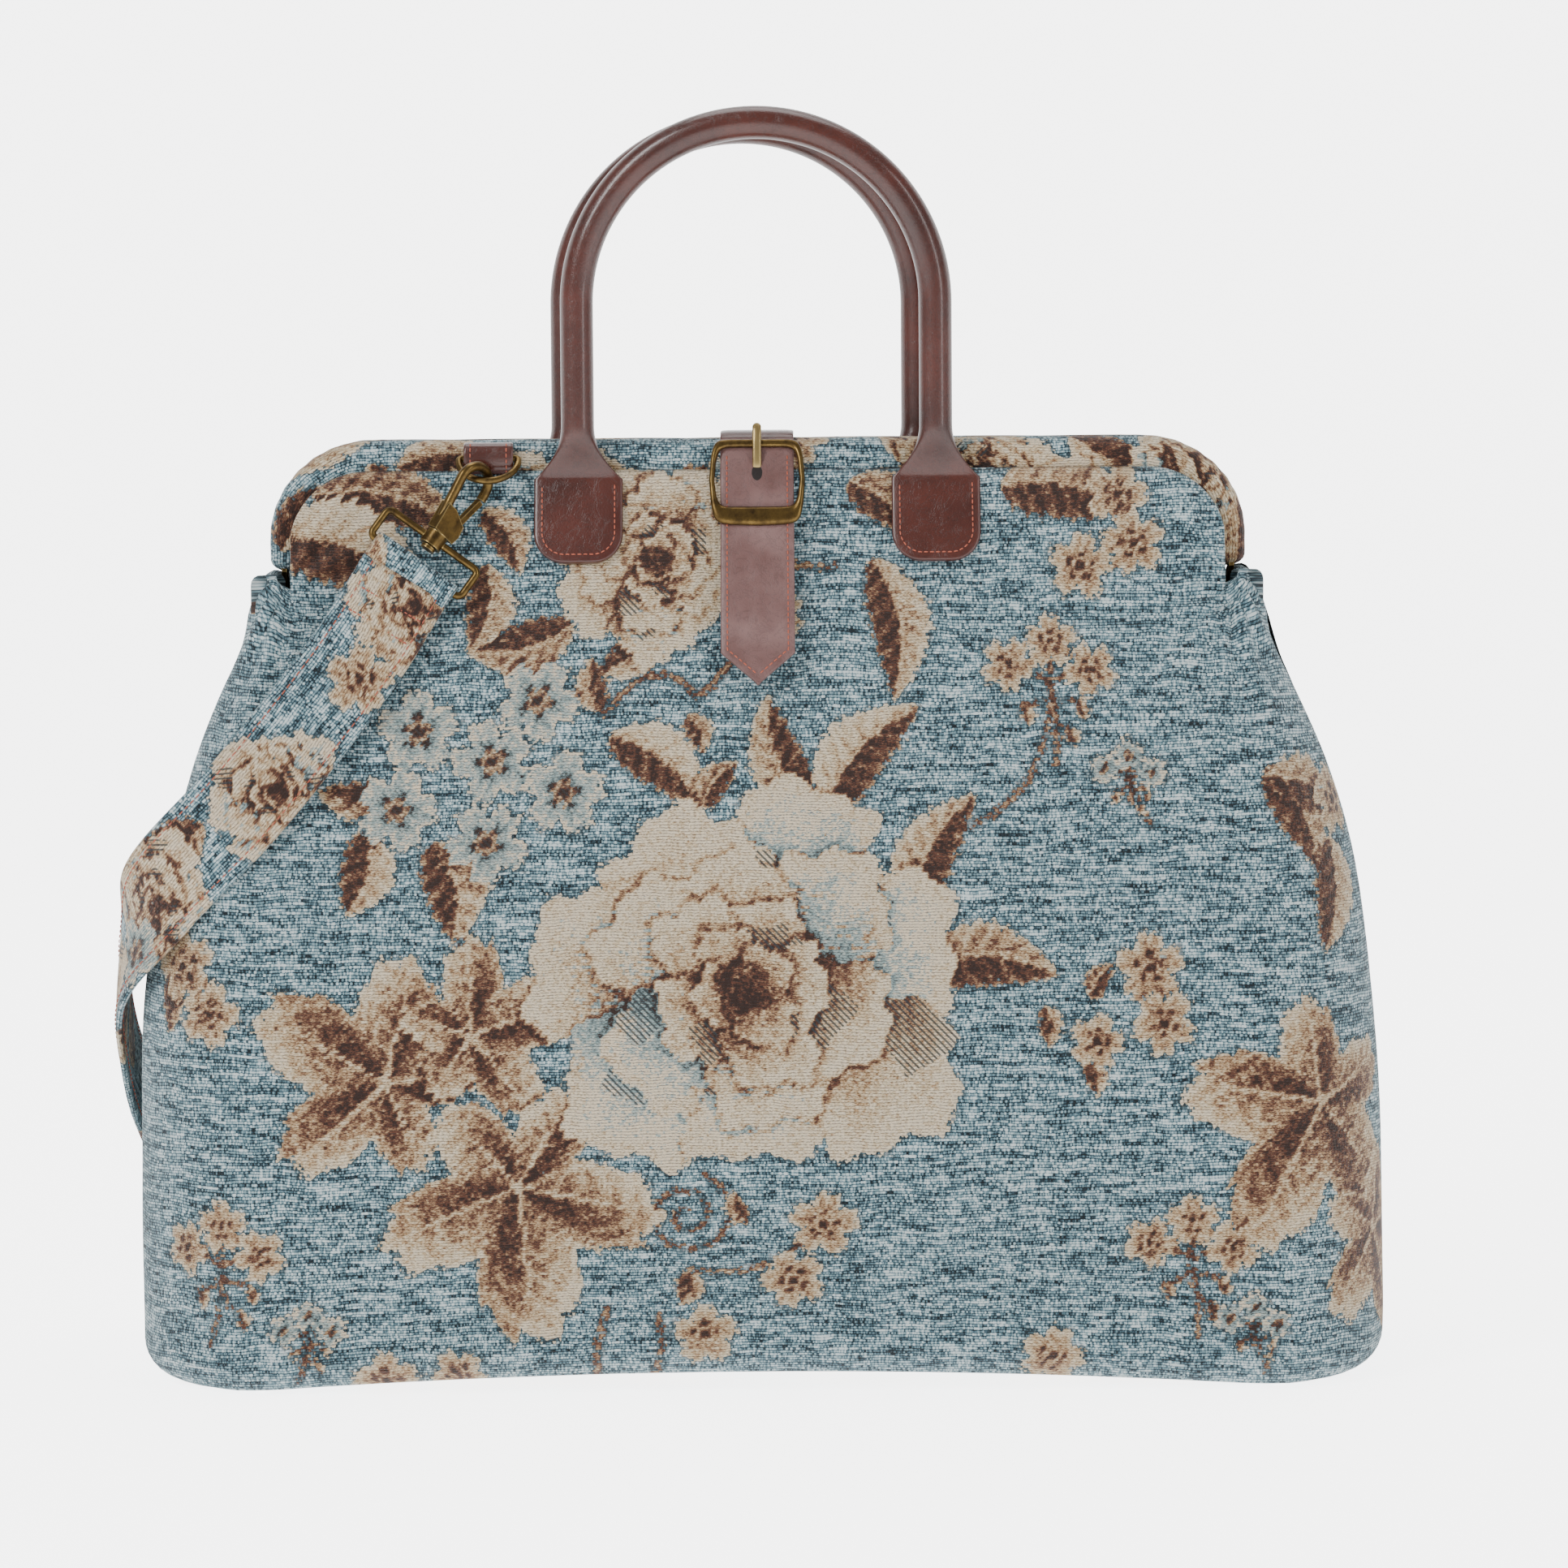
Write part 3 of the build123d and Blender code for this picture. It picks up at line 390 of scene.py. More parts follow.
def main_figures(pattern):
    """The bag's front: a great rose low on the left, lobed leaves, and sprays towards the rim."""
    curl(pattern, (-29, 70), 18)
    stem(pattern, (-28, 47), (2, 40), (18, 62))
    stem(pattern, (-60, 30), (-66, 10), (-64, -12), 2.4)
    stem(pattern, (-40, 26), (-36, 8), (-48, -14), 2.0)
    stem(pattern, (-60, 262), (-40, 288), (-24, 268), 2.2)
    stem(pattern, (-24, 268), (-10, 276), (0, 304), 2.2)
    stem(pattern, (70, 215), (108, 222), (114, 262), 2.0)
    stem(pattern, (-121, 200), (-112, 184), (-118, 170), 2.0)
    stem(pattern, (30, 318), (14, 320), (0, 318), 2.2)
    for foot, angle, length, width, light in (
        ((20, 226), 112, 46, 22, 0.42), ((24, 222), 48, 58, 26, 0.6), ((58, 182), 62, 56, 24, 0.5),
        ((60, 164), -2, 56, 26, 0.34), ((46, 322), -82, 56, 24, 0.5), ((-58, 254), -38, 46, 24, 0.66),
        ((-22, 226), 52, 22, 13, 0.3), ((-72, 296), 192, 44, 22, 0.36), ((-40, 296), -140, 30, 17, 0.5),
        ((-152, 218), -104, 34, 22, 0.5), ((-126, 214), -78, 40, 26, 0.46), ((-146, 232), 178, 26, 15, 0.3),
        ((-62, 262), 98, 22, 13, 0.4), ((-27, 262), -72, 17, 11, 0.4), ((96, 350), -12, 50, 30, 0.44),
        ((36, 352), -40, 30, 20, 0.3), ((110, 150), -84, 16, 10, 0.4), ((128, 152), 60, 16, 10, 0.25),
        ((-28, 46), -100, 16, 11, 0.35), ((-6, 66), 110, 15, 9, 0.35), ((126, 128), -70, 14, 9, 0.4),
        ((-176, 348), -14, 62, 26, 0.2), ((-108, 342), -60, 30, 16, 0.4), ((-196, 332), -20, 72, 34, 0.64),
        ((-106, 320), -100, 34, 20, 0.45), ((198, 240), -62, 44, 24, 0.45), ((196, 236), -20, 38, 20, 0.4),
        ((226, 212), -96, 44, 24, 0.5), ((-234, 162), -88, 22, 11, 0.3),
    ):
        leaf(pattern, foot, angle, length, width, light)
    for centre, angle, size, light in (
        ((-145, 122), 150, 56, 0.5), ((-112, 140), 20, 44, 0.5), ((-94, 82), -84, 66, 0.56),
        ((218, 112), -118, 62, 0.5), ((252, 60), -60, 48, 0.52),
    ):
        lobed_leaf(pattern, centre, angle, size, 5, light)
    for centre, angle in (((-133, 256), 20), ((-86, 267), 60), ((-141, 226), 0), ((-104, 244), 36),
                          ((-76, 232), 10), ((-106, 213), 50)):
        blossom(pattern, centre, 17.5, angle, 0.9)
    for centre, angle, size in (
        ((142, 346), 0, 14), ((148, 327), 30, 14), ((127, 318), 10, 14), ((151, 164), 20, 15),
        ((156, 143), 50, 14), ((130, 136), 0, 12), ((-226, 166), 30, 16), ((-214, 148), 0, 14),
        ((24, 66), 10, 15), ((12, 42), 40, 14), ((-22, 18), 20, 14), ((112, 10), 0, 14),
        ((-146, 2), 20, 14), ((-118, 4), 50, 12), ((232, 226), 20, 15), ((8, 300), 40, 11),
    ):
        blossom(pattern, centre, size, angle, 0.15)
    rose(pattern, (-6, 158), 80, 18)
    rose(pattern, (-40, 322), 40, 60, 0.35)
    sprig(pattern, (116, 242), 14, -2)
    sprig(pattern, (-216, 20), 14, 6)
    sprig(pattern, (168, 20), 14, -2)
    sprig(pattern, (152, 218), 8, -8, 0.9)
    sprig(pattern, (-180, 4), 8, 4, 0.9)
    sprig(pattern, (196, 6), 8, -6, 0.9)


def plain_figures(pattern, seed):
    """Back of the bag: one rose, leaves and sprigs set out by a seeded draw on a staggered grid."""
    draw = np.random.default_rng(seed)
    rose(pattern, (40, 190), 70, 100)
    lobed_leaf(pattern, (-60, 120), 200, 62)
    lobed_leaf(pattern, (130, 110), -40, 56)
    for row, up in enumerate(range(10, 360, 62)):
        for across in range(-270 + 45 * (row % 2), 300, 90):
            spot = (across + draw.uniform(-12, 12), up + draw.uniform(-10, 10))
            far_from_rose = math.hypot(spot[0] - 40, spot[1] - 190) > 92
            if far_from_rose and draw.random() < 0.45:
                sprig(pattern, spot, 13, draw.uniform(-6, 6), draw.choice([0.0, 0.8]))
            elif far_from_rose:
                leaf(pattern, spot, draw.uniform(0, 360), draw.uniform(38, 60), 24, draw.uniform(0.3, 0.6))


def strip_figures(pattern, length, seed, spacing=34):
    """Rim and strap: leaves, small roses and blossoms along a narrow strip, from a seeded draw."""
    draw = np.random.default_rng(seed)
    for place in np.arange(spacing / 2, length, spacing):
        spot = (place + draw.uniform(-6, 6), draw.uniform(-12, 12))
        kind = draw.integers(0, 5)
        if kind == 0:
            rose(pattern, spot, 26, draw.uniform(0, 360), 0.6)
        elif kind == 1:
            blossom(pattern, spot, 15, draw.uniform(0, 72), draw.choice([0.0, 0.9]))
        else:
            leaf(pattern, spot, draw.uniform(0, 360), draw.uniform(30, 46), 21, draw.uniform(0.25, 0.65))


# ------------------------------------------------------------------- materials
class Nodes:
    """Short hand for adding nodes to one tree and joining them."""

    def __init__(self, tree):
        self.tree = tree

    def add(self, kind, inputs=(), **settings):
        """A node with its settings; inputs are (name, value or socket) pairs."""
        node = self.tree.nodes.new(kind)
        for key, value in settings.items():
            setattr(node, key, value)
        for key, value in inputs:
            self.set(node, key, value)
        return node

    def set(self, node, key, value):
        """Links a socket or sets a plain value."""
        if isinstance(value, bpy.types.NodeSocket):
            self.tree.links.new(value, node.inputs[key])
        else:
            node.inputs[key].default_value = value

    def math(self, operation, first, second=0.0, third=0.0, clamp=False):
        """Result of a Math node."""
        pairs = [(0, first), (1, second), (2, third)]
        return self.add("ShaderNodeMath", pairs, operation=operation, use_clamp=clamp).outputs[0]

    def mix(self, share, first, second, blend="MIX"):
        """Mixed colour."""
        pairs = [(0, share), (6, first), (7, second)]
        return self.add("ShaderNodeMix", pairs, data_type="RGBA", blend_type=blend).outputs[2]

    def noise(self, place, scale, detail=2.0, roughness=0.5, distortion=0.0):
        """Noise between 0 and 1."""
        pairs = [("Vector", place), ("Scale", scale), ("Detail", detail), ("Roughness", roughness),
                 ("Distortion", distortion)]
        return self.add("ShaderNodeTexNoise", pairs).outputs[0]

    def range(self, value, low, high, to_low=0.0, to_high=1.0):
        """Value taken from one range to another, and held at its ends."""
        pairs = [(0, value), (1, low), (2, high), (3, to_low), (4, to_high)]
        return self.add("ShaderNodeMapRange", pairs).outputs[0]

    def ramp(self, value, stops, interpolation="LINEAR"):
        """Colour ramp from (place, colour) stops."""
        node = self.add("ShaderNodeValToRGB", [(0, value)])
        node.color_ramp.interpolation = interpolation
        elements = node.color_ramp.elements
        while len(elements) < len(stops):
            elements.new(0.5)
        for element, (place, colour) in zip(elements, stops):
            element.position = place
            element.color = (*colour, 1)
        return node.outputs[0]

    def place(self, x, y, z=0.0):
        """Vector from three values."""
        return self.add("ShaderNodeCombineXYZ", [(0, x), (1, y), (2, z)]).outputs[0]


def hexed(code):
    """Linear colour from a six-digit code of a display colour."""
    shown = np.array([int(code[k:k + 2], 16) for k in (0, 2, 4)]) / 255
    linear = np.where(shown <= 0.04045, shown / 12.92, ((shown + 0.055) / 1.055) ** 2.4)
    return tuple(float(value) for value in linear)


def node_group(name, inputs, outputs):
    """New shader group with its sockets; gives the group, its nodes and its two ends."""
    group = bpy.data.node_groups.new(name, "ShaderNodeTree")
    for label, kind, value in inputs:
        socket = group.interface.new_socket(name=label, in_out="INPUT", socket_type=kind)
        if value is not None:
            socket.default_value = value
    for label, kind in outputs:
        group.interface.new_socket(name=label, in_out="OUTPUT", socket_type=kind)
    nodes = Nodes(group)
    return group, nodes, nodes.add("NodeGroupInput"), nodes.add("NodeGroupOutput")


VALUE, COLOUR, VECTOR = "NodeSocketFloat", "NodeSocketColor", "NodeSocketVector"


def weave_group():
    """Rows of yarn: jitter, streaks and nubs of each row, slow bands, and the height of the weave."""
    labels = ("Jitter", "Streak", "Nub", "Fine", "Band", "Row Height", "Across", "Up")
    group, nodes, start, end = node_group(
        "Weave Rows", [("Cloth", VECTOR, None), ("Row Pitch", VALUE, 1.15)],
        [(label, VALUE) for label in labels])
    parts = nodes.add("ShaderNodeSeparateXYZ", [(0, start.outputs["Cloth"])]).outputs
    across = nodes.math("MULTIPLY", parts[0], 100.0)
    up = nodes.math("MULTIPLY", parts[1], 100.0)
    drift = nodes.noise(nodes.place(across, up), 0.05, 1.0)
    rows = nodes.math("DIVIDE", nodes.math("MULTIPLY_ADD", drift, 3.0, up), start.outputs["Row Pitch"])
    row = nodes.math("FLOOR", rows)
    inside = nodes.math("FRACT", rows)
    shift = nodes.math("MULTIPLY", row, 7.31)
    off_middle = nodes.math("ABSOLUTE", nodes.math("MULTIPLY_ADD", inside, 2.0, -1.0))
    bow = nodes.math("SUBTRACT", 1.0, nodes.math("POWER", off_middle, 2.5))
    values = (
        nodes.noise(nodes.place(nodes.math("MULTIPLY", across, 0.42), shift), 1.0, 1.0),
        nodes.noise(
            nodes.place(nodes.math("MULTIPLY", across, 0.15), nodes.math("MULTIPLY", row, 3.77)),
            1.0, 2.0),
        nodes.noise(nodes.place(nodes.math("MULTIPLY", across, 1.05), shift), 1.0, 1.0),
        nodes.noise(
            nodes.place(nodes.math("MULTIPLY", across, 0.9), nodes.math("MULTIPLY", up, 2.6)),
            1.0, 2.0, 0.6),
        nodes.noise(
            nodes.place(nodes.math("MULTIPLY", across, 0.045), nodes.math("MULTIPLY", up, 0.33)),
            1.0, 2.0, 0.6),
        bow, across, up,
    )
    for label, value in zip(labels, values):
        nodes.set(end, label, value)
    return group


def grain_group():
    """Leather grain: small cells between creases, and slow changes of colour."""
    group, nodes, start, end = node_group(
        "Leather Grain",
        [("Place", VECTOR, None), ("Grain Scale", VALUE, 900.0)],
        [("Height", VALUE), ("Blotch", VALUE), ("Crease", VALUE)],
    )
    place = start.outputs["Place"]
    pairs = [("Vector", place), ("Scale", start.outputs["Grain Scale"])]
    cells = nodes.add("ShaderNodeTexVoronoi", pairs, feature="DISTANCE_TO_EDGE").outputs[0]
    crease = nodes.noise(place, 160.0, 4.0, 0.65, 1.2)
    line = nodes.range(nodes.math("ABSOLUTE", nodes.math("SUBTRACT", crease, 0.5)), 0.0, 0.035)
    height = nodes.math(
        "MULTIPLY_ADD", nodes.range(cells, 0.0, 0.18), 0.35, nodes.math("MULTIPLY", line, 0.5))
    nodes.set(end, "Height", height)
    nodes.set(end, "Blotch", nodes.noise(place, 38.0, 3.0, 0.6))
    nodes.set(end, "Crease", line)
    return group


def wear_group():
    """Bright edges: how far the normal turns when the edge is rounded off."""
    group, nodes, start, end = node_group(
        "Edge Wear",
        [("Place", VECTOR, None), ("Width", VALUE, 0.0008)],
        [("Edge", VALUE), ("Tarnish", VALUE)],
    )
    soft = nodes.add("ShaderNodeBevel", [("Radius", start.outputs["Width"])], samples=4).outputs[0]
    sharp = nodes.add("ShaderNodeNewGeometry").outputs["Normal"]
    match = nodes.add(
        "ShaderNodeVectorMath", [(0, soft), (1, sharp)], operation="DOT_PRODUCT").outputs["Value"]
    nodes.set(end, "Edge", nodes.range(match, 0.995, 0.9))
    nodes.set(end, "Tarnish", nodes.noise(start.outputs["Place"], 220.0, 4.0, 0.65))
    return group


def shared_groups():
    """The three effects that several materials use."""
    return {"weave": weave_group(), "grain": grain_group(), "wear": wear_group()}


def new_material(name):
    """Empty material with its Principled shader; gives the material, its nodes and the shader."""
    material = bpy.data.materials.new(name)
    material.use_nodes = True
    material.node_tree.nodes.clear()
    nodes = Nodes(material.node_tree)
    shader = nodes.add("ShaderNodeBsdfPrincipled")
    out = nodes.add("ShaderNodeOutputMaterial")
    nodes.set(out, "Surface", shader.outputs[0])
    return material, nodes, shader


def tapestry(groups, colours):
    """Chenille ground with brocade figures: yarn colours change row by row at each figure's edge."""
    material, nodes, shader = new_material("tapestry")
    cloth = nodes.add("ShaderNodeUVMap", uv_map="cloth").outputs[0]
    weave = nodes.add("ShaderNodeGroup", node_tree=groups["weave"])
    nodes.set(weave, "Cloth", cloth)
    value = {key: nodes.add("ShaderNodeAttribute", attribute_name=key).outputs["Fac"]
             for key in ("cover", "tone", "pale", "twill")}
    jitter, streak, nub, fine, band = (
        weave.outputs[key] for key in ("Jitter", "Streak", "Nub", "Fine", "Band"))
    across, up, bow = (weave.outputs[key] for key in ("Across", "Up", "Row Height"))
    # figure or ground, with a ragged edge one yarn high and a dark line outside it
    edge = nodes.math("ADD", value["cover"], nodes.math("MULTIPLY_ADD", jitter, 7.0, -3.5))
    figure = nodes.range(edge, -0.12, 0.12)
    outline = nodes.math("MULTIPLY", nodes.range(edge, -1.5, -0.6), 0.7)
    # ground
    pile = nodes.math("MULTIPLY_ADD", streak, 1.35, -2.42)
    for part, share in ((nub, 1.9), (fine, 0.6), (band, 1.25), (bow, 0.5)):
        pile = nodes.math("MULTIPLY_ADD", part, share, pile)
    ground = nodes.ramp(pile, [
        (0.05, colours["ground_dark"]), (0.3, colours["ground_deep"]), (0.5, colours["ground"]),
        (0.7, colours["ground_light"]), (0.92, colours["ground_nub"])])
    ground = nodes.mix(outline, ground, (*colours["slate_dark"], 1))
    # figures
    shade = nodes.math("MULTIPLY_ADD", jitter, 1.1, nodes.math("MULTIPLY_ADD", fine, 1.0, value["tone"]))
    shade = nodes.math("SUBTRACT", shade, 1.05)
    warm = nodes.ramp(shade, [
        (0.0, colours["dark_brown"]), (0.2, colours["brown"]), (0.42, colours["tan_brown"]),
        (0.56, colours["tan"]), (0.72, colours["cream"]), (0.93, colours["light_cream"])], "CONSTANT")
    cool = nodes.ramp(shade, [
        (0.0, colours["dark_brown"]), (0.24, colours["slate"]), (0.42, colours["blue_grey"]),
        (0.62, colours["pale_grey"]), (0.84, colours["light_cream"])], "CONSTANT")
    cool_share = nodes.math("ADD", value["pale"], nodes.math("MULTIPLY_ADD", streak, 1.6, -0.8))
    cool_share = nodes.range(cool_share, 0.42, 0.5)
    yarn = nodes.mix(cool_share, warm, cool)
    stripe = nodes.math("FRACT", nodes.math("DIVIDE", nodes.math("ADD", across, up), 2.6))
    dark_line = nodes.math("LESS_THAN", stripe, 0.42)
    hatch = nodes.math("MULTIPLY", dark_line, nodes.range(value["twill"], 0.4, 0.6))
    yarn = nodes.mix(nodes.math("MULTIPLY", hatch, 0.85), yarn, (*colours["slate_dark"], 1))
    float_gap = nodes.range(nodes.math("MULTIPLY_ADD", bow, 0.3, fine), 0.78, 0.48)
    yarn = nodes.mix(nodes.math("MULTIPLY", float_gap, 0.7), yarn, (*colours["dark_brown"], 1))
    nodes.set(shader, "Base Color", nodes.mix(figure, ground, yarn))
    rough = nodes.math("MULTIPLY_ADD", figure, -0.2, 0.78)
    nodes.set(shader, "Roughness", nodes.math("MULTIPLY_ADD", fine, 0.1, rough))
    height = nodes.math("MULTIPLY_ADD", nodes.range(edge, -0.8, 0.8), 0.7, nodes.math("MULTIPLY", bow, 0.5))
    for part, share in ((fine, 1.6), (streak, 0.8), (nub, 1.2)):
        height = nodes.math("MULTIPLY_ADD", part, share, height)
    bump = nodes.add("ShaderNodeBump", [("Strength", 0.9), ("Distance", 0.0006), ("Height", height)])
    nodes.set(shader, "Normal", bump.outputs[0])
    shader.inputs["Sheen Weight"].default_value = 0.2
    shader.inputs["Sheen Roughness"].default_value = 0.45
    shader.inputs["Specular IOR Level"].default_value = 0.3
    return material


def leather_material(name, groups, colour, light, roughness, coat, scale=900.0):
    """Smooth waxed leather: grain and creases in the height, blotches in the colour."""
    material, nodes, shader = new_material(name)
    place = nodes.add("ShaderNodeTexCoord").outputs["Object"]
    grain = nodes.add("ShaderNodeGroup", node_tree=groups["grain"])
    nodes.set(grain, "Place", place)
    nodes.set(grain, "Grain Scale", scale)
    share = nodes.range(grain.outputs["Blotch"], 0.3, 0.7)
    tone = nodes.mix(share, (*colour, 1), (*light, 1))
    crease = nodes.math("MULTIPLY_ADD", grain.outputs["Crease"], -0.35, 0.35)
    tone = nodes.mix(crease, tone, (*(0.5 * v for v in colour), 1))
    nodes.set(shader, "Base Color", tone)
    nodes.set(shader, "Roughness", nodes.math("MULTIPLY_ADD", grain.outputs["Blotch"], 0.14, roughness))
    bump = nodes.add(
        "ShaderNodeBump", [("Strength", 0.35), ("Distance", 0.00022), ("Height", grain.outputs["Height"])])
    nodes.set(shader, "Normal", bump.outputs[0])
    shader.inputs["Coat Weight"].default_value = coat
    shader.inputs["Coat Roughness"].default_value = 0.16
    return material


def brass_material(name, groups, colours, polish):
    """Antique brass: dark tarnish in patches and bright rubbed edges; polish from 0 to 1."""
    material, nodes, shader = new_material(name)
    place = nodes.add("ShaderNodeTexCoord").outputs["Object"]
    wear = nodes.add("ShaderNodeGroup", node_tree=groups["wear"])
    nodes.set(wear, "Place", place)
    tarnish = nodes.range(wear.outputs["Tarnish"], 0.35, 0.7)
    body = nodes.mix(tarnish, (*colours["brass"], 1), (*colours["brass_dark"], 1))
    edge = nodes.math("MULTIPLY_ADD", wear.outputs["Edge"], 0.75 * (1 - polish), polish)
    nodes.set(shader, "Base Color", nodes.mix(edge, body, (*colours["brass_bright"], 1)))
    nodes.set(shader, "Roughness", nodes.math("MULTIPLY_ADD", tarnish, 0.16, 0.27))
    nodes.set(shader, "Metallic", 0.95)
    scratch = nodes.noise(place, 1500.0, 2.0)
    bump = nodes.add("ShaderNodeBump", [("Strength", 0.12), ("Distance", 0.0001), ("Height", scratch)])
    nodes.set(shader, "Normal", bump.outputs[0])
    return material


def thread_material(colours):
    """Waxed sewing thread: two twisted strands."""
    material, nodes, shader = new_material("thread")
    place = nodes.add("ShaderNodeTexCoord").outputs["Object"]
    twist = nodes.noise(place, 2500.0, 1.0)
    nodes.set(shader, "Base Color", nodes.mix(twist, (*colours["thread"], 1), (*colours["thread_light"], 1)))
    nodes.set(shader, "Roughness", nodes.math("MULTIPLY_ADD", twist, 0.2, 0.5))
    bump = nodes.add("ShaderNodeBump", [("Strength", 0.5), ("Distance", 0.0001), ("Height", twist)])
    nodes.set(shader, "Normal", bump.outputs[0])
    return material


def lining_material(colours):
    """Plain cotton lining with a fine square weave."""
    material, nodes, shader = new_material("lining cotton")
    cloth = nodes.add("ShaderNodeTexCoord").outputs["Object"]
    slub = nodes.noise(cloth, 420.0, 3.0, 0.6)
    slow = nodes.noise(cloth, 14.0, 2.0)
    base = nodes.mix(nodes.range(slub, 0.3, 0.7), (*colours["lining"], 1), (*colours["lining_light"], 1))
    base = nodes.mix(nodes.math("MULTIPLY", slow, 0.25), base, (*colours["dark_brown"], 1))
    nodes.set(shader, "Base Color", base)
    nodes.set(shader, "Roughness", nodes.math("MULTIPLY_ADD", slub, 0.15, 0.75))
    bump = nodes.add("ShaderNodeBump", [("Strength", 0.4), ("Distance", 0.0002), ("Height", slub)])
    nodes.set(shader, "Normal", bump.outputs[0])
    return material


COLOURS = {
    "ground_dark": hexed("101c22"), "ground_deep": hexed("3a5561"), "ground": hexed("6b8c97"),
    "ground_light": hexed("9db7be"), "ground_nub": hexed("dde8e9"),
    "dark_brown": hexed("2e1a12"), "brown": hexed("5f3828"),
    "tan_brown": hexed("926c50"), "tan": hexed("c09c73"), "cream": hexed("dac39f"),
    "light_cream": hexed("eddcc0"), "slate": hexed("5d6e70"), "slate_dark": hexed("2b3a40"),
    "blue_grey": hexed("8ba1a1"), "pale_grey": hexed("b4c0ba"),
    "brass": hexed("7a6237"), "brass_dark": hexed("3d2f1e"), "brass_bright": hexed("cbb27a"),
    "thread": hexed("a34a33"), "thread_light": hexed("c4715a"),
    "lining": hexed("8b7355"), "lining_light": hexed("a89070"),
}
LEATHER_DARK = hexed("3a150d")
LEATHER_LIGHT = hexed("552318")
BILLET_DARK = hexed("664541")
BILLET_LIGHT = hexed("8b6c69")
CHOSEN_COLOURS = ("ground", "brown", "cream", "brass", "thread", "lining")
MATERIALS = {}


def make_materials():
    """Builds the shared groups once, and then every finish."""
    groups = shared_groups()
    chosen = bpy.context.scene.carpet_bag_colours
    colours = COLOURS | {key: tuple(getattr(chosen, key)) for key in CHOSEN_COLOURS}
    MATERIALS["tapestry"] = tapestry(groups, colours)
    MATERIALS["leather"] = leather_material(
        "leather", groups, tuple(chosen.leather), LEATHER_LIGHT, 0.24, 0.6)
    MATERIALS["billet"] = leather_material(
        "creased leather", groups, BILLET_DARK, BILLET_LIGHT, 0.36, 0.12, 620.0)
    MATERIALS["brass"] = brass_material("antique brass", groups, colours, 0.0)
    MATERIALS["bright brass"] = brass_material("rubbed brass", groups, colours, 0.6)
    # near-black finish of the slot under the tongue: painted shade of the hole
    MATERIALS["slot"] = leather_material("slot edge", groups, hexed("150b09"), hexed("1d0f0c"), 0.6, 0.0)
    MATERIALS["thread"] = thread_material(colours)
    MATERIALS["lining"] = lining_material(colours)


# ------------------------------------------------------------------ body cloth
def ease(share, power):
    """Rises quickly and then levels: 1 - (1 - s)^power."""
    return 1 - (1 - np.clip(share, 0, 1)) ** power


def half_width(z):
    """Half the width of the body at height z."""
    return RIM_HALF + (BASE_HALF - RIM_HALF) * ease((HINGE - z) / HINGE / 0.7, 2.4)


def half_depth(z):
    """Half the depth of the body at height z."""
    spread = DEPTH_HALF - HINGE_DEPTH_HALF
    return HINGE_DEPTH_HALF + spread * ease((HINGE - z) / HINGE / 0.8, 1.6)


def base_arch(x, z):
    """Rise of the slack base: a parabola across the width that fades out upwards."""
    return BASE_ARCH * np.clip(1 - (x / 205) ** 2, 0, 1) * smooth(1 - z / 90)


def wall_point(share, z, pull):
    """Point of the front wall: share runs -1 to 1 from side seam to side seam by arc length.

    The plan is half a rounded rectangle whose corner radius is 0.6 of its half depth, pulled in by pull.
    """
    wide = half_width(z) - pull
    deep = half_depth(z) - pull
    corner = 0.6 * deep
    straight = wide - corner
    bend = corner * np.pi / 2
    total = straight + bend + deep - corner
    run = np.abs(share) * total
    turn = np.clip((run - straight) / corner, 0, np.pi / 2)
    x = np.minimum(run, straight) + corner * np.sin(turn)
    y = -deep + corner * (1 - np.cos(turn)) + np.maximum(run - straight - bend, 0)
    side = np.sign(share)
    return np.stack([side * x, y, np.broadcast_to(z, x.shape)], axis=-1), side * run


def cloth_relief(across, up, edge):
    """How far the slack cloth stands out of its plain shape, in millimetres.

    Slow waves over the whole panel, gathers that fade with the distance edge from the mouth's seam, and
    creases that fan out of each hinge.
    """
    slow = 1.5 * np.sin(across / 41 + 0.8 * np.sin(up / 63)) * np.sin(up / 52 + across / 160)
    slow += 0.7 * np.sin(up / 17 + across / 55) * np.cos(across / 83 + 1.1)
    gathers = 0.75 * np.exp(-edge / 11) * np.sin(across / 1.9 + 1.6 * np.sin(across / 7.3))
    creases = 0.0
    for side in (-1, 1):
        x = side * across - 188
        y = up - HINGE
        turn = np.arctan2(y + 0.01, x)
        reach = np.hypot(x, y)
        fan = np.sin(13 * turn + 0.6 * np.sin(reach / 9))
        creases = creases + 1.5 * np.exp(-reach / 38) * smooth(reach / 10) * fan
    return slow + gathers + creases


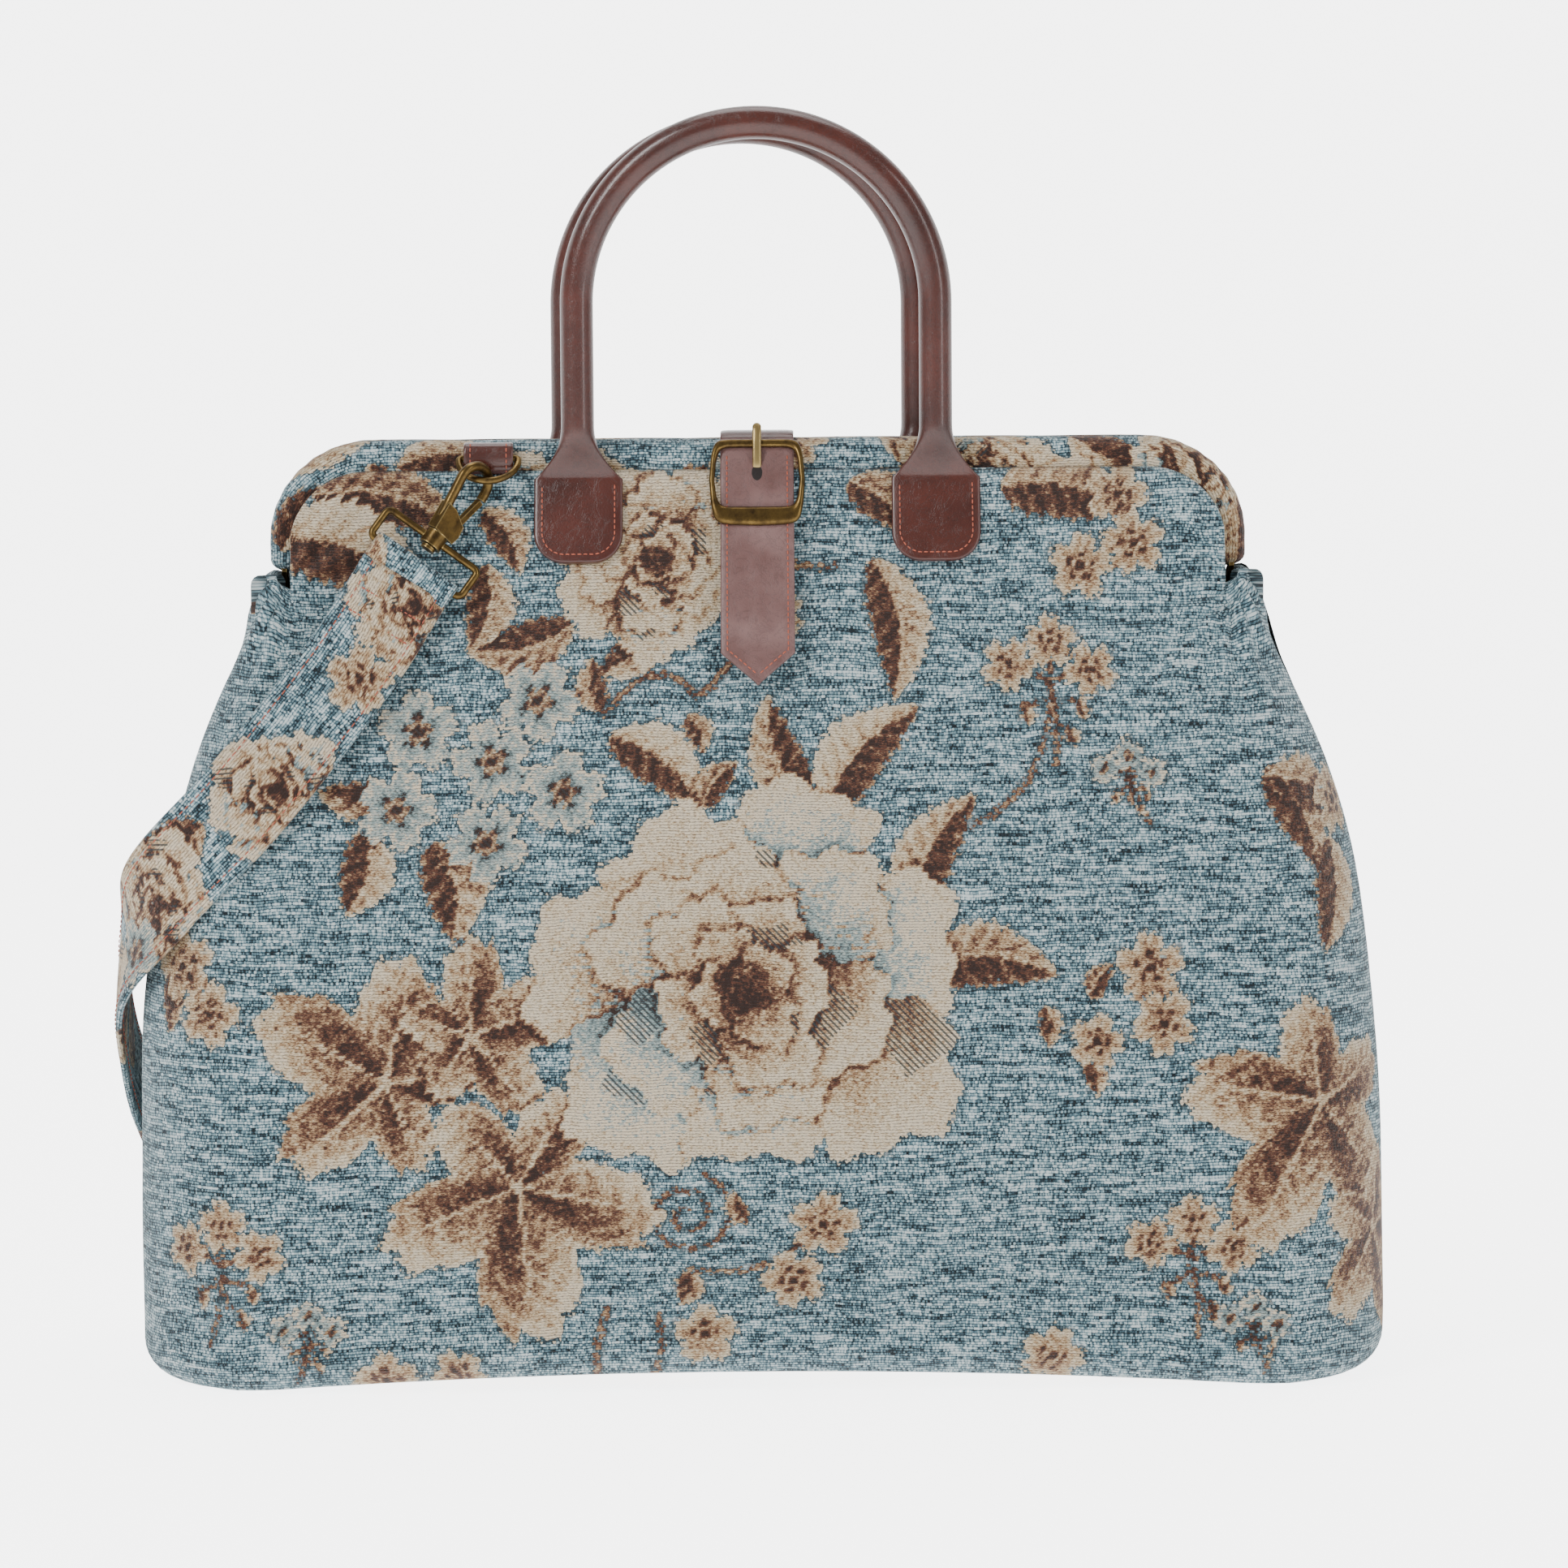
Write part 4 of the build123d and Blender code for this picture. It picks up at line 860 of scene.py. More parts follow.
def panel_grids(step):
    """Grids of the front panel in millimetres: the wall and the apron.

    Gives points and cloth coordinates. The apron stands on the wall's top row and leans in to the rim.
    """
    lip = np.stack([np.zeros(3), BOTTOM_ROUND + np.array([9.0, 6.0, 3.0])], axis=-1)
    turn = np.linspace(0, np.pi / 2, 9)
    low = np.stack([BOTTOM_ROUND * (1 - np.cos(turn)), BOTTOM_ROUND * (1 - np.sin(turn))], axis=-1)
    rise = np.linspace(BOTTOM_ROUND, HINGE, int((HINGE - BOTTOM_ROUND) / step))[1:]
    rows = np.concatenate([lip, low, np.stack([rise, np.zeros(rise.size)], axis=-1)])
    columns = int(2 * 300 / step)
    share = np.linspace(-1, 1, columns)[None, :]
    z = rows[:, :1]
    wall, across = wall_point(share, z, rows[:, 1:])
    up = np.broadcast_to(z, across.shape).copy()
    up -= np.maximum(rows[:, 1:] - BOTTOM_ROUND, 0)
    top_across = across[-1]
    centre = np.nonzero(np.abs(top_across) <= APRON_HALF)[0]
    # apron
    x = top_across[centre]
    apron_rows = int((MOUTH_TOP - HINGE) / step)
    lift = np.linspace(0, 1, apron_rows + 1)[1:, None]
    past = np.clip(np.abs(x) - (APRON_HALF - APRON_CORNER), 0, APRON_CORNER)
    top = MOUTH_TOP + APRON_LAP - APRON_CORNER + np.sqrt(APRON_CORNER**2 - past**2)
    z_apron = HINGE + lift * (top - HINGE)
    share_up = (z_apron - HINGE) / (MOUTH_TOP - HINGE)
    y_wall = wall[-1, centre, 1]
    y_apron = -HINGE_DEPTH_HALF + (HINGE_DEPTH_HALF - APRON_DEPTH) * share_up
    y_apron = y_apron + (y_wall + HINGE_DEPTH_HALF) * smooth(1 - share_up * 4)
    x_apron = np.broadcast_to(x, z_apron.shape)
    edge = np.minimum(APRON_HALF - np.abs(x_apron), top - z_apron)
    apron = np.stack([x_apron, y_apron, z_apron], axis=-1)
    return wall, across, up, centre, apron, x_apron, z_apron, edge


def edge_roll(edge, radius):
    """How far a turned edge falls back: a quarter circle of the given radius."""
    inside = np.clip(radius - edge, 0, radius)
    return radius - np.sqrt(radius**2 - inside**2)


def panel(name, step, figures, back=False):
    """One outer panel as a single sheet: wall, apron with turned edges, and rolled tops at the sides."""
    wall, across, up, centre, apron, x_apron, z_apron, edge = panel_grids(step)
    wall_edge = (HINGE - up) + 60 * (np.abs(across) < APRON_HALF) + 40
    relief = cloth_relief(across, up, wall_edge)[..., None]
    from_side = smooth((HINGE_DEPTH_HALF * 9 - np.abs(across)) / 40)[..., None]
    wall = wall + cell_normals(wall) * relief * smooth(up / 30)[..., None] * from_side
    wall[..., 2] += base_arch(wall[..., 0], up)
    # the side tops puff out and up over the hinges
    puff = smooth((np.abs(across) - APRON_HALF) / 10) * smooth((up - HINGE + 30) / 30)
    wall = wall + (puff * 3.0)[..., None] * cell_normals(wall)
    wall[..., 2] += puff * 5.5
    relief = cloth_relief(x_apron, z_apron, edge)
    apron[..., 1] -= relief * smooth((edge + 1) / 5)
    apron[..., 1] += edge_roll(edge, 2.8)
    # turned-in lips: down both sides of the apron to the rim, and along its top
    depth = np.linspace(0, 1, 7)[1:]
    lips = []
    for column, side in ((0, -1), (-1, 1)):
        start = apron[:, column]
        end = start.copy()
        end[:, 1] = -RIM_FACE + 1
        end[:, 0] -= side * 2
        run = depth if side > 0 else depth[::-1]
        lips.append(start[:, None] + run[None, :, None] * (end - start)[:, None])
    apron_full = np.concatenate([lips[0], apron, lips[1]], axis=1)
    over = apron_full[-1:].repeat(4, axis=0)
    over[:, :, 1] += np.array([1.0, 2.0, 3.0, 4.0])[:, None]
    over[:, :, 2] -= np.array([0.3, 0.8, 1.4, 2.2])[:, None]
    apron_full = np.concatenate([apron_full, over])
    side_run = np.arange(1, depth.size + 1) * 2.0
    cloth_x = np.concatenate([x_apron[0, 0] - side_run[::-1], x_apron[0], x_apron[0, -1] + side_run])
    cloth_z = np.concatenate([z_apron[:, :1].repeat(6, 1), z_apron, z_apron[:, -1:].repeat(6, 1)], axis=1)
    cloth_z = np.concatenate([cloth_z, cloth_z[-1:] + np.array([1.0, 2.0, 3.0, 4.0])[:, None]])
    cloth_x = np.broadcast_to(cloth_x, cloth_z.shape)
    # rolled tops of the side walls
    inward = -cell_normals(wall)[-1]
    inward[:, 2] = 0
    inward = unit(inward)
    roll = np.linspace(0, 1, 14)[1:, None] * 24
    radius = 4.0
    turned = np.minimum(roll / radius, np.pi)
    step_in = radius * (1 - np.cos(turned))
    step_up = radius * np.sin(turned) - np.maximum(roll - radius * np.pi, 0)
    tops, top_cloth = [], []
    for part in (np.arange(0, centre[0] + 1), np.arange(centre[-1], across.shape[1])):
        base = wall[-1, part]
        rolled = base[None] + step_in[..., None] * inward[part][None]
        rolled[..., 2] += step_up
        tops.append((part, rolled))
        top_cloth.append(stacked(across[-1, part][None], HINGE + roll))
    # one list of points
    points = [wall.reshape(-1, 3)]
    cloth = [np.stack([across, up], axis=-1).reshape(-1, 2)]
    index = np.arange(wall.shape[0] * wall.shape[1]).reshape(wall.shape[:2])
    faces = [grid_faces(index)]
    count = index.size
    sheet = count + np.arange(apron_full.shape[0] * apron_full.shape[1]).reshape(apron_full.shape[:2])
    points.append(apron_full.reshape(-1, 3))
    cloth.append(np.stack([cloth_x, cloth_z], axis=-1).reshape(-1, 2))
    faces.append(grid_faces(sheet))
    join = np.stack([index[-1, centre], sheet[0, 6:-6]])
    faces.append(grid_faces(join))
    count += sheet.size
    for (part, rolled), flat in zip(tops, top_cloth):
        numbers = count + np.arange(rolled.shape[0] * rolled.shape[1]).reshape(rolled.shape[:2])
        faces.append(grid_faces(np.concatenate([index[-1:, part], numbers])))
        points.append(rolled.reshape(-1, 3))
        cloth.append(flat.reshape(-1, 2))
        count += numbers.size
    points = np.concatenate(points)
    cloth = np.concatenate(cloth)
    pattern = Pattern(cloth[:, 0], cloth[:, 1])
    figures(pattern)
    if back:
        points = back_side(points)
    return make_piece(name, points, np.concatenate(faces), MATERIALS["tapestry"], cloth, pattern.fields())


def jaw_blend(piece):
    """Cloth that hangs from a jaw: its place is baked into its points."""
    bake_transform(piece)


def bottom_sheet():
    """Base cloth: rings of the base outline drawn in to the middle, over the arch of the slack base."""
    share = np.linspace(-1, 1, 120)[None, :]
    shrink = np.linspace(1, 0.02, 26)[:, None, None]
    front, _ = wall_point(share, np.zeros((1, 1)), np.full((1, 1), BOTTOM_ROUND + 4.0))
    ring = np.concatenate([front[0], back_side(front[0])[1:-1]])
    points = ring[None] * shrink
    points[..., 2] = 0.3 + base_arch(points[..., 0], np.zeros(points.shape[:2])) + 0.6
    faces = grid_faces(np.arange(points.shape[0] * points.shape[1]).reshape(points.shape[:2]), around=True)
    cloth = points[..., :2]
    pattern = Pattern(cloth[..., 0], cloth[..., 1] + 170)
    plain_figures(pattern, 5)
    return make_piece("bottom_cloth", points, faces, MATERIALS["tapestry"], cloth, pattern.fields())


def bent_board():
    """Stiff base board: the base outline drawn in to the middle, above and below, bent to the arch."""
    share = np.linspace(-1, 1, 90)[None, :]
    front, _ = wall_point(share, np.zeros((1, 1)), np.full((1, 1), BOTTOM_ROUND + 4.4))
    ring = np.concatenate([front[0], back_side(front[0])[1:-1]])
    shrink = np.array([0.02, 0.4, 0.8, 0.995, 1.0, 1.0, 0.995, 0.8, 0.4, 0.02])[:, None, None]
    height = np.array([1.25, 1.25, 1.25, 1.25, 0.8, -0.8, -1.25, -1.25, -1.25, -1.25])[:, None]
    points = ring[None] * shrink
    points[..., 2] = 4.85 + height + base_arch(points[..., 0], np.zeros(points.shape[:2]))
    return make_piece("bent_board", points, tube_faces(*points.shape[:2]), MATERIALS["lining"])


def lining_half(name, back=False):
    """Half of the lining bag: the wall drawn in by its clearance, on a flat floor, its top at the rim."""
    floor = 9.0
    rows = np.concatenate([[floor] * 6, np.linspace(floor, HINGE, 60)[1:]])
    pull = np.concatenate([np.array([62, 48, 34, 24, 14, 8.0]), 4.2 + 3.2 * smooth((rows[6:] - 255) / 35)])
    share = np.linspace(-1, 1, 150)[None, :]
    wall, across = wall_point(share, rows[:, None], pull[:, None])
    keep = wall[..., 2].copy()
    wall[..., 2] = keep + base_arch(wall[..., 0], keep) * 0.9
    top_across = across[-1]
    lift = np.linspace(0, 1, 18)[1:, None]
    x = np.clip(top_across, -APRON_HALF + 4, APRON_HALF - 4)
    middle = np.abs(top_across) <= APRON_HALF - 4
    past = np.clip(np.abs(x) - (APRON_HALF - APRON_CORNER), 0, APRON_CORNER - 4)
    top = MOUTH_TOP - APRON_CORNER + np.sqrt(APRON_CORNER**2 - past**2) - 3
    z = HINGE + lift * np.where(middle, top - HINGE, 0.0) - lift * np.where(middle, 0.0, 12.0)
    share_up = np.clip((z - HINGE) / (MOUTH_TOP - HINGE), 0, 1)
    y = wall[-1, :, 1] + (HINGE_DEPTH_HALF - APRON_DEPTH) * share_up
    x_rows = wall[-1, :, 0] + np.where(middle, 0.0, -np.sign(top_across) * 2.0) * lift
    apron = np.stack([x_rows, y, z], axis=-1)
    points = np.concatenate([wall, apron])
    normals = cell_normals(points)
    ripple = 0.7 * np.sin(points[..., 0] / 13 + points[..., 2] / 31) * np.sin(points[..., 2] / 23)
    points = points - normals * np.abs(ripple)[..., None]
    faces = grid_faces(np.arange(points.shape[0] * points.shape[1]).reshape(points.shape[:2]))[:, ::-1]
    if back:
        points = back_side(points)
    return make_piece(name, points, faces, MATERIALS["lining"])


# ------------------------------------------------------------------ rim covers
def woven_tube(name, points, cloth, pattern):
    """Closed sweep of tapestry with its figures."""
    return make_piece(
        name, points, tube_faces(*points.shape[:2]), MATERIALS["tapestry"], cloth, pattern.fields())


def arch_path(half, foot, top, corner, step):
    """Upside-down U by arc length: two legs, two quarter circles and a span; points and outward normals."""
    leg = top - corner - foot
    bend = corner * np.pi / 2
    span = 2 * (half - corner)
    total = 2 * leg + 2 * bend + span
    run = np.linspace(0, total, int(total / step))
    mirrored = np.minimum(run, total - run)
    turn = np.clip((mirrored - leg) / corner, 0, np.pi / 2)
    x = -(half - corner) - corner * np.cos(turn) + np.maximum(mirrored - leg - bend, 0)
    z = foot + np.minimum(mirrored, leg) + corner * np.sin(turn)
    side = np.where(run < total / 2, 1, -1)
    normal = np.stack([-np.cos(turn) * side, np.zeros(run.size), np.sin(turn)], axis=-1)
    return np.stack([x * side, np.zeros(run.size), z], axis=-1), normal, run, total, mirrored


def rim_cover(name, seed, back=False):
    """Padded roll round a steel arch: a soft square section carried along it, gathered at its corners."""
    half_band = RIM_BAND / 2
    half_roll = (RIM_FACE - JAW_GAP) / 2
    centre, normal, run, total, mirrored = arch_path(
        RIM_HALF - half_band, RIM_FOOT, RIM_TOP - half_band, RIM_CORNER - half_band, 1.5)
    centre[:, 1] = -(JAW_GAP + half_roll)
    count = 44
    base = rounded_section(count, half_band - 0.2, half_roll - 0.2, 3.4)
    leg = RIM_TOP - RIM_CORNER - RIM_FOOT
    bend = np.exp(-((mirrored - leg - 26) / 24) ** 2)
    turn = np.linspace(0, 2 * np.pi, count, endpoint=False)
    wave = np.sin(run[:, None] / 1.05 + 1.2 * np.sin(turn + run[:, None] / 17))
    gather = 1 - 0.045 * bend[:, None] * (0.5 + 0.5 * wave)
    slack = 1 - 0.018 * (1 + np.sin(run[:, None] / 7.5 + 2 * np.sin(turn * 2)))
    end = np.sqrt(1 - np.clip(1 - np.minimum(run, total - run) / 5, 0, 0.96) ** 2)[:, None]
    section = base[None] * (gather * slack * end)[..., None]
    lift = np.broadcast_to(np.array([0.0, -1.0, 0.0]), centre.shape)
    points = swept(centre, normal, lift, section)
    around = np.concatenate([[0], np.cumsum(np.linalg.norm(np.diff(base, axis=0), axis=1))])
    cloth = stacked(run[:, None], around[None] - 12)
    pattern = Pattern(cloth[..., 0], cloth[..., 1])
    strip_figures(pattern, total, seed, 25)
    pattern.up = pattern.up - 34
    strip_figures(pattern, total, seed + 7, 27)
    if back:
        points = back_side(points)
    return woven_tube(name, points, cloth, pattern)


# --------------------------------------------------------------------- leather
APRON_UP = unit(np.array([0.0, HINGE_DEPTH_HALF - APRON_DEPTH, MOUTH_TOP - HINGE]))
APRON_OUT = np.array([0.0, -APRON_UP[2], APRON_UP[1]])
APRON_TOP = np.array([0.0, -APRON_DEPTH, MOUTH_TOP])
TAB_WIDTH = 35
TAB_LENGTH = 34
TAB_THICK = 3.6
TAB_ROUND = 12
TAB_DROP = 2
FLARE = 20


def tab_half(down):
    """Half width of a handle's tab at a distance below its top: straight, then a rounded end."""
    past = np.clip(down - (TAB_LENGTH - TAB_ROUND), 0, TAB_ROUND)
    return TAB_WIDTH / 2 - TAB_ROUND + np.sqrt(np.maximum(TAB_ROUND**2 - past**2, 0.01))


def handle_run():
    """Places along one handle, from the left tab over the bow to the right tab.

    Gives centres, side vectors, lift vectors, half widths, half heights and the section's squareness.
    """
    tab_end = TAB_LENGTH - TAB_ROUND * (1 - np.cos(np.linspace(0.05, np.pi / 2, 12)))
    down = np.concatenate([tab_end, np.linspace(20, 0, 12)])
    out = 0.3 + TAB_THICK / 2
    tab = APRON_TOP - (TAB_DROP + down)[:, None] * APRON_UP + out * APRON_OUT
    foot = MOUTH_TOP + FLARE
    share = np.linspace(0, 1, 26)[1:]
    curve = smooth(share)
    tab_top = APRON_TOP - TAB_DROP * APRON_UP + out * APRON_OUT
    to_leg = np.array([0, -HANDLE_STAND, foot]) - tab_top
    flare = tab_top + to_leg * np.stack([share, curve, share], axis=-1)
    leg_top = HANDLE_TOP - HANDLE_RADIUS - HANDLE_SPAN
    leg_z = np.linspace(foot, leg_top, 22)[1:]
    leg = np.stack([np.zeros(leg_z.size), np.full(leg_z.size, -HANDLE_STAND), leg_z], axis=-1)
    low = np.concatenate([tab, flare, leg])
    low[:, 0] = -HANDLE_SPAN
    lift_share = smooth(np.concatenate([np.zeros(tab.shape[0]), share, np.ones(leg.shape[0])]))[:, None]
    lift = unit(APRON_OUT * (1 - lift_share) + np.array([0, -1.0, 0]) * lift_share)
    wide = np.concatenate([
        tab_half(down), HANDLE_RADIUS + (TAB_WIDTH / 2 - HANDLE_RADIUS) * (1 - share) ** 2.1,
        np.full(leg.shape[0], HANDLE_RADIUS)])
    thin = np.full(down.size, TAB_THICK / 2) * np.clip(tab_half(down) / 9, 0.55, 1)
    high = np.concatenate([thin, TAB_THICK / 2 + (HANDLE_RADIUS - TAB_THICK / 2) * smooth(share * 1.15),
                           np.full(leg.shape[0], HANDLE_RADIUS)])
    square = np.concatenate([
        np.full(tab.shape[0], 6.0), 2 + 4 * (1 - share) ** 2, np.full(leg.shape[0], 2.0)])
    turn = np.linspace(np.pi, 0, 92)[1:-1]
    bow = stacked(HANDLE_SPAN * np.cos(turn), -HANDLE_STAND, leg_top + HANDLE_SPAN * np.sin(turn))
    side_bow = np.stack([np.cos(turn), np.zeros(turn.size), np.sin(turn)], axis=-1)
    flat = np.array([-1.0, 0, 0])
    centres = np.concatenate([low, bow, (low * np.array([-1, 1, 1]))[::-1]])
    side = np.concatenate([np.broadcast_to(flat, low.shape), side_bow, np.broadcast_to(-flat, low.shape)])
    lift = np.concatenate([lift, np.broadcast_to(np.array([0, -1.0, 0]), bow.shape), lift[::-1]])
    plain = np.full(turn.size, HANDLE_RADIUS)
    wide = np.concatenate([wide, plain, wide[::-1]])
    high = np.concatenate([high, plain, high[::-1]])
    square = np.concatenate([square, np.full(turn.size, 2.0), square[::-1]])
    return centres, side, lift, wide, high, square


def handle(name, back=False):
    """Rolled leather handle: a round section that spreads into a flat sewn tab at each end."""
    centres, side, lift, wide, high, square = handle_run()
    turn = np.linspace(0, 2 * np.pi, 40, endpoint=False)[None, :]
    power = (2 / square)[:, None]
    x = np.sign(np.cos(turn)) * np.abs(np.cos(turn)) ** power * wide[:, None]
    y = np.sign(np.sin(turn)) * np.abs(np.sin(turn)) ** power * high[:, None]
    points = swept(centres, side, lift, np.stack([x, y], axis=-1))
    if back:
        points = back_side(points)
        points[..., 0] -= REAR_HANDLE_SHIFT
    faces = tube_faces(*points.shape[:2])
    return make_piece(name, points, faces, MATERIALS["leather"])


def strap_piece(name, path, widths, thick, material, power=7.0):
    """Flat strap in the YZ plane: a rounded slab carried along its path, with its own width at each place."""
    heading = unit(np.gradient(path, axis=0))
    side = np.broadcast_to(np.array([1.0, 0, 0]), path.shape)
    lift = unit(np.cross(heading, side))
    base = rounded_section(36, 1.0, 1.0, power)
    section = stacked(base[None, :, 0] * widths[:, None], base[None, :, 1] * thick / 2)
    points = swept(path, side, lift, section)
    return make_piece(name, points, tube_faces(*points.shape[:2]), material)


STRAP_HALF = 14.5
STRAP_LEAN = math.radians(22.4)
EDGE_Y = -(RIM_FACE - 6)
EDGE_Z = RIM_TOP - 6
STRAP_BEND = 6.4 + LEATHER / 2
STRAP_OUT = np.array([0, -math.cos(STRAP_LEAN), math.sin(STRAP_LEAN)])
STRAP_DOWN = np.array([0, -math.sin(STRAP_LEAN), -math.cos(STRAP_LEAN)])
STRAP_START = np.array([0, EDGE_Y, EDGE_Z]) + (6.4 + LEATHER) * STRAP_OUT


def closure_path():
    """Middle line of the closing strap: up the rear of the rim, over both jaws and down the front."""
    turn = np.linspace(0, np.pi / 2, 12)
    rear = stacked(0.0, -EDGE_Y + STRAP_BEND * np.cos(turn), EDGE_Z + STRAP_BEND * np.sin(turn))
    tail = stacked(0.0, -EDGE_Y + STRAP_BEND, np.linspace(356, EDGE_Z, 7)[:-1])
    flat = stacked(0.0, np.linspace(-EDGE_Y, EDGE_Y, 16)[1:-1], EDGE_Z + STRAP_BEND)
    turn = np.linspace(np.pi / 2, STRAP_LEAN, 12)
    front = stacked(0.0, EDGE_Y - STRAP_BEND * np.cos(turn), EDGE_Z + STRAP_BEND * np.sin(turn))
    fall = front[-1] + np.linspace(0, 56, 40)[1:, None] * STRAP_DOWN
    return np.concatenate([tail, rear, flat, front, fall])


def strap_point(across, down, rise):
    """Point on the strap's front plane: across, down from the rim and out of the leather."""
    across, down, rise = np.broadcast_arrays(across, down, rise)
    spread = across[..., None] * np.array([1.0, 0, 0])
    return STRAP_START + spread + down[..., None] * STRAP_DOWN + rise[..., None] * STRAP_OUT


def billet_rise(down):
    """Height of the billet's middle over the strap: a low hump where it passes over the buckle's bar."""
    return 0.3 + LEATHER / 2 + 1.7 * np.exp(-((down - 17) / 8.5) ** 2)


def stitches(name, path, out, material, pitch=2.35, length=1.75, radius=0.3):
    """Row of stitches: a short tapered bead at each pitch along a path."""
    gaps = np.linalg.norm(np.diff(path, axis=0), axis=1)
    run = np.concatenate([[0], np.cumsum(gaps)])
    places = np.arange(pitch / 2, run[-1], pitch)
    centre = np.stack([np.interp(places, run, path[:, k]) for k in range(3)], axis=-1)
    ahead = np.stack([np.interp(places + 0.4, run, path[:, k]) for k in range(3)], axis=-1)
    behind = np.stack([np.interp(places - 0.4, run, path[:, k]) for k in range(3)], axis=-1)
    heading = unit(ahead - behind)
    normal = np.stack([np.interp(places, run, out[:, k]) for k in range(3)], axis=-1)
    side = unit(np.cross(heading, normal))
    normal = unit(np.cross(side, heading))
    along = np.array([-0.5, -0.36, 0.0, 0.36, 0.5]) * length
    girth = np.array([0.25, 0.85, 1.0, 0.85, 0.25]) * radius
    sink = np.array([-0.5, 0.2, 0.55, 0.2, -0.5]) * radius
    turn = np.linspace(0, 2 * np.pi, 6, endpoint=False)
    bead = (
        centre[:, None, None] + along[None, :, None, None] * heading[:, None, None]
        + (girth[:, None] * np.cos(turn))[None, ..., None] * side[:, None, None]
        + (sink[:, None] + girth[:, None] * np.sin(turn))[None, ..., None] * normal[:, None, None]
    )
    numbers = np.arange(bead.shape[0] * 30).reshape(-1, 5, 6)
    ring = np.concatenate([numbers, numbers[:, :, :1]], axis=2)
    quads = np.stack([ring[:, :-1, :-1], ring[:, :-1, 1:], ring[:, 1:, 1:], ring[:, 1:, :-1]], axis=-1)
    faces = quads.reshape(-1, 4)[:, ::-1].tolist()
    faces += numbers[:, 0].tolist() + numbers[:, -1, ::-1].tolist()
    return make_piece(name, bead.reshape(-1, 3), faces, material)


# -------------------------------------------------------------- buckle and tab
BUCKLE_TOP = -0.6
BUCKLE_FOOT = 34.4
BUCKLE_LOW = 2.9
BUCKLE_THICK = 2.0


def strap_place(across, down, rise):
    """Points on the strap's front plane for whole arrays of across, down and rise."""
    spread = stacked(across, down, rise)
    axes = np.stack([np.array([1.0, 0, 0]), STRAP_DOWN, STRAP_OUT])
    return STRAP_START + spread @ axes


def buckle():
    """Cast frame: a soft square outline with bowed sides, a wide lower bar and bevelled edges."""
    turn = np.linspace(0, 2 * np.pi, 160, endpoint=False)
    middle = (BUCKLE_TOP + BUCKLE_FOOT) / 2
    reach = (BUCKLE_FOOT - BUCKLE_TOP) / 2
    power = 2 / 10
    round_x = np.sign(np.cos(turn)) * np.abs(np.cos(turn)) ** power
    round_y = np.sign(np.sin(turn)) * np.abs(np.sin(turn)) ** power
    bow = np.cos(round_y * np.pi / 2)
    foot_bow = 1.0 * np.cos(round_x * np.pi / 2) * (round_y < 0)
    outer = np.stack([round_x * (16.8 + 2.1 * bow), round_y * reach - foot_bow], axis=-1)
    inner_y = np.where(round_y > 0, round_y * (reach - 3.2), round_y * (reach - 6.4))
    inner = np.stack([round_x * (14.7 + 2.1 * bow), inner_y], axis=-1)
    ramp = np.array([0.0, 0.0, 0.16, 0.5, 0.84, 1.0, 1.0, 0.5])
    rise = np.array([0.0, 0.62, 1.0, 1.06, 1.0, 0.62, 0.0, 0.0]) * BUCKLE_THICK
    flat = outer[:, None] + ramp[None, :, None] * (inner - outer)[:, None]
    # the plate is cast with a slight crown from top to bottom
    crown = 0.9 * (1 - (flat[..., 1] / reach) ** 2)
    points = strap_place(flat[..., 0], middle - flat[..., 1], BUCKLE_LOW + rise[None] + crown)
    index = np.arange(points.shape[0] * 8).reshape(-1, 8)
    index = np.concatenate([index, index[:1]])
    return make_piece("buckle", points, grid_faces(index, around=True), MATERIALS["brass"])


def tongue():
    """Buckle tongue: a half-round bar from the hole in the billet up over the frame's top bar."""
    line = np.array([[12.2, 0.4], [11.0, 2.6], [8.5, 3.9], [4.0, 5.2], [0.0, 6.1], [-3.5, 6.3], [-6.4, 5.6]])
    line, run = even_path(line, 0.5)
    path = strap_place(0.0, line[:, 0], line[:, 1])
    ends = np.minimum(run + 0.6, run[-1] - run + 0.35)
    widths = 1.75 * np.sqrt(1 - np.clip(1 - ends / 1.7, 0, 0.97) ** 2)
    return strap_piece("tongue", path, widths, 1.8, MATERIALS["bright brass"], 2.6)


def tongue_hole():
    """Worn slot under the tongue: a thin dark dome on the billet, painted shade where the hole is."""
    turn = np.linspace(0, 2 * np.pi, 40, endpoint=False)
    share = np.array([1.0, 0.7, 0.35, 0.02])[:, None]
    down = 13.4 + 3.4 * share * np.sin(turn)
    rise = billet_rise(down) + LEATHER / 2 + 0.02 + 0.1 * (1 - share**2)
    points = strap_place(2.1 * share * np.cos(turn), down, rise)
    index = np.arange(points.shape[0] * points.shape[1]).reshape(points.shape[:2])
    return make_piece("tongue_hole", points, grid_faces(index, around=True), MATERIALS["slot"])


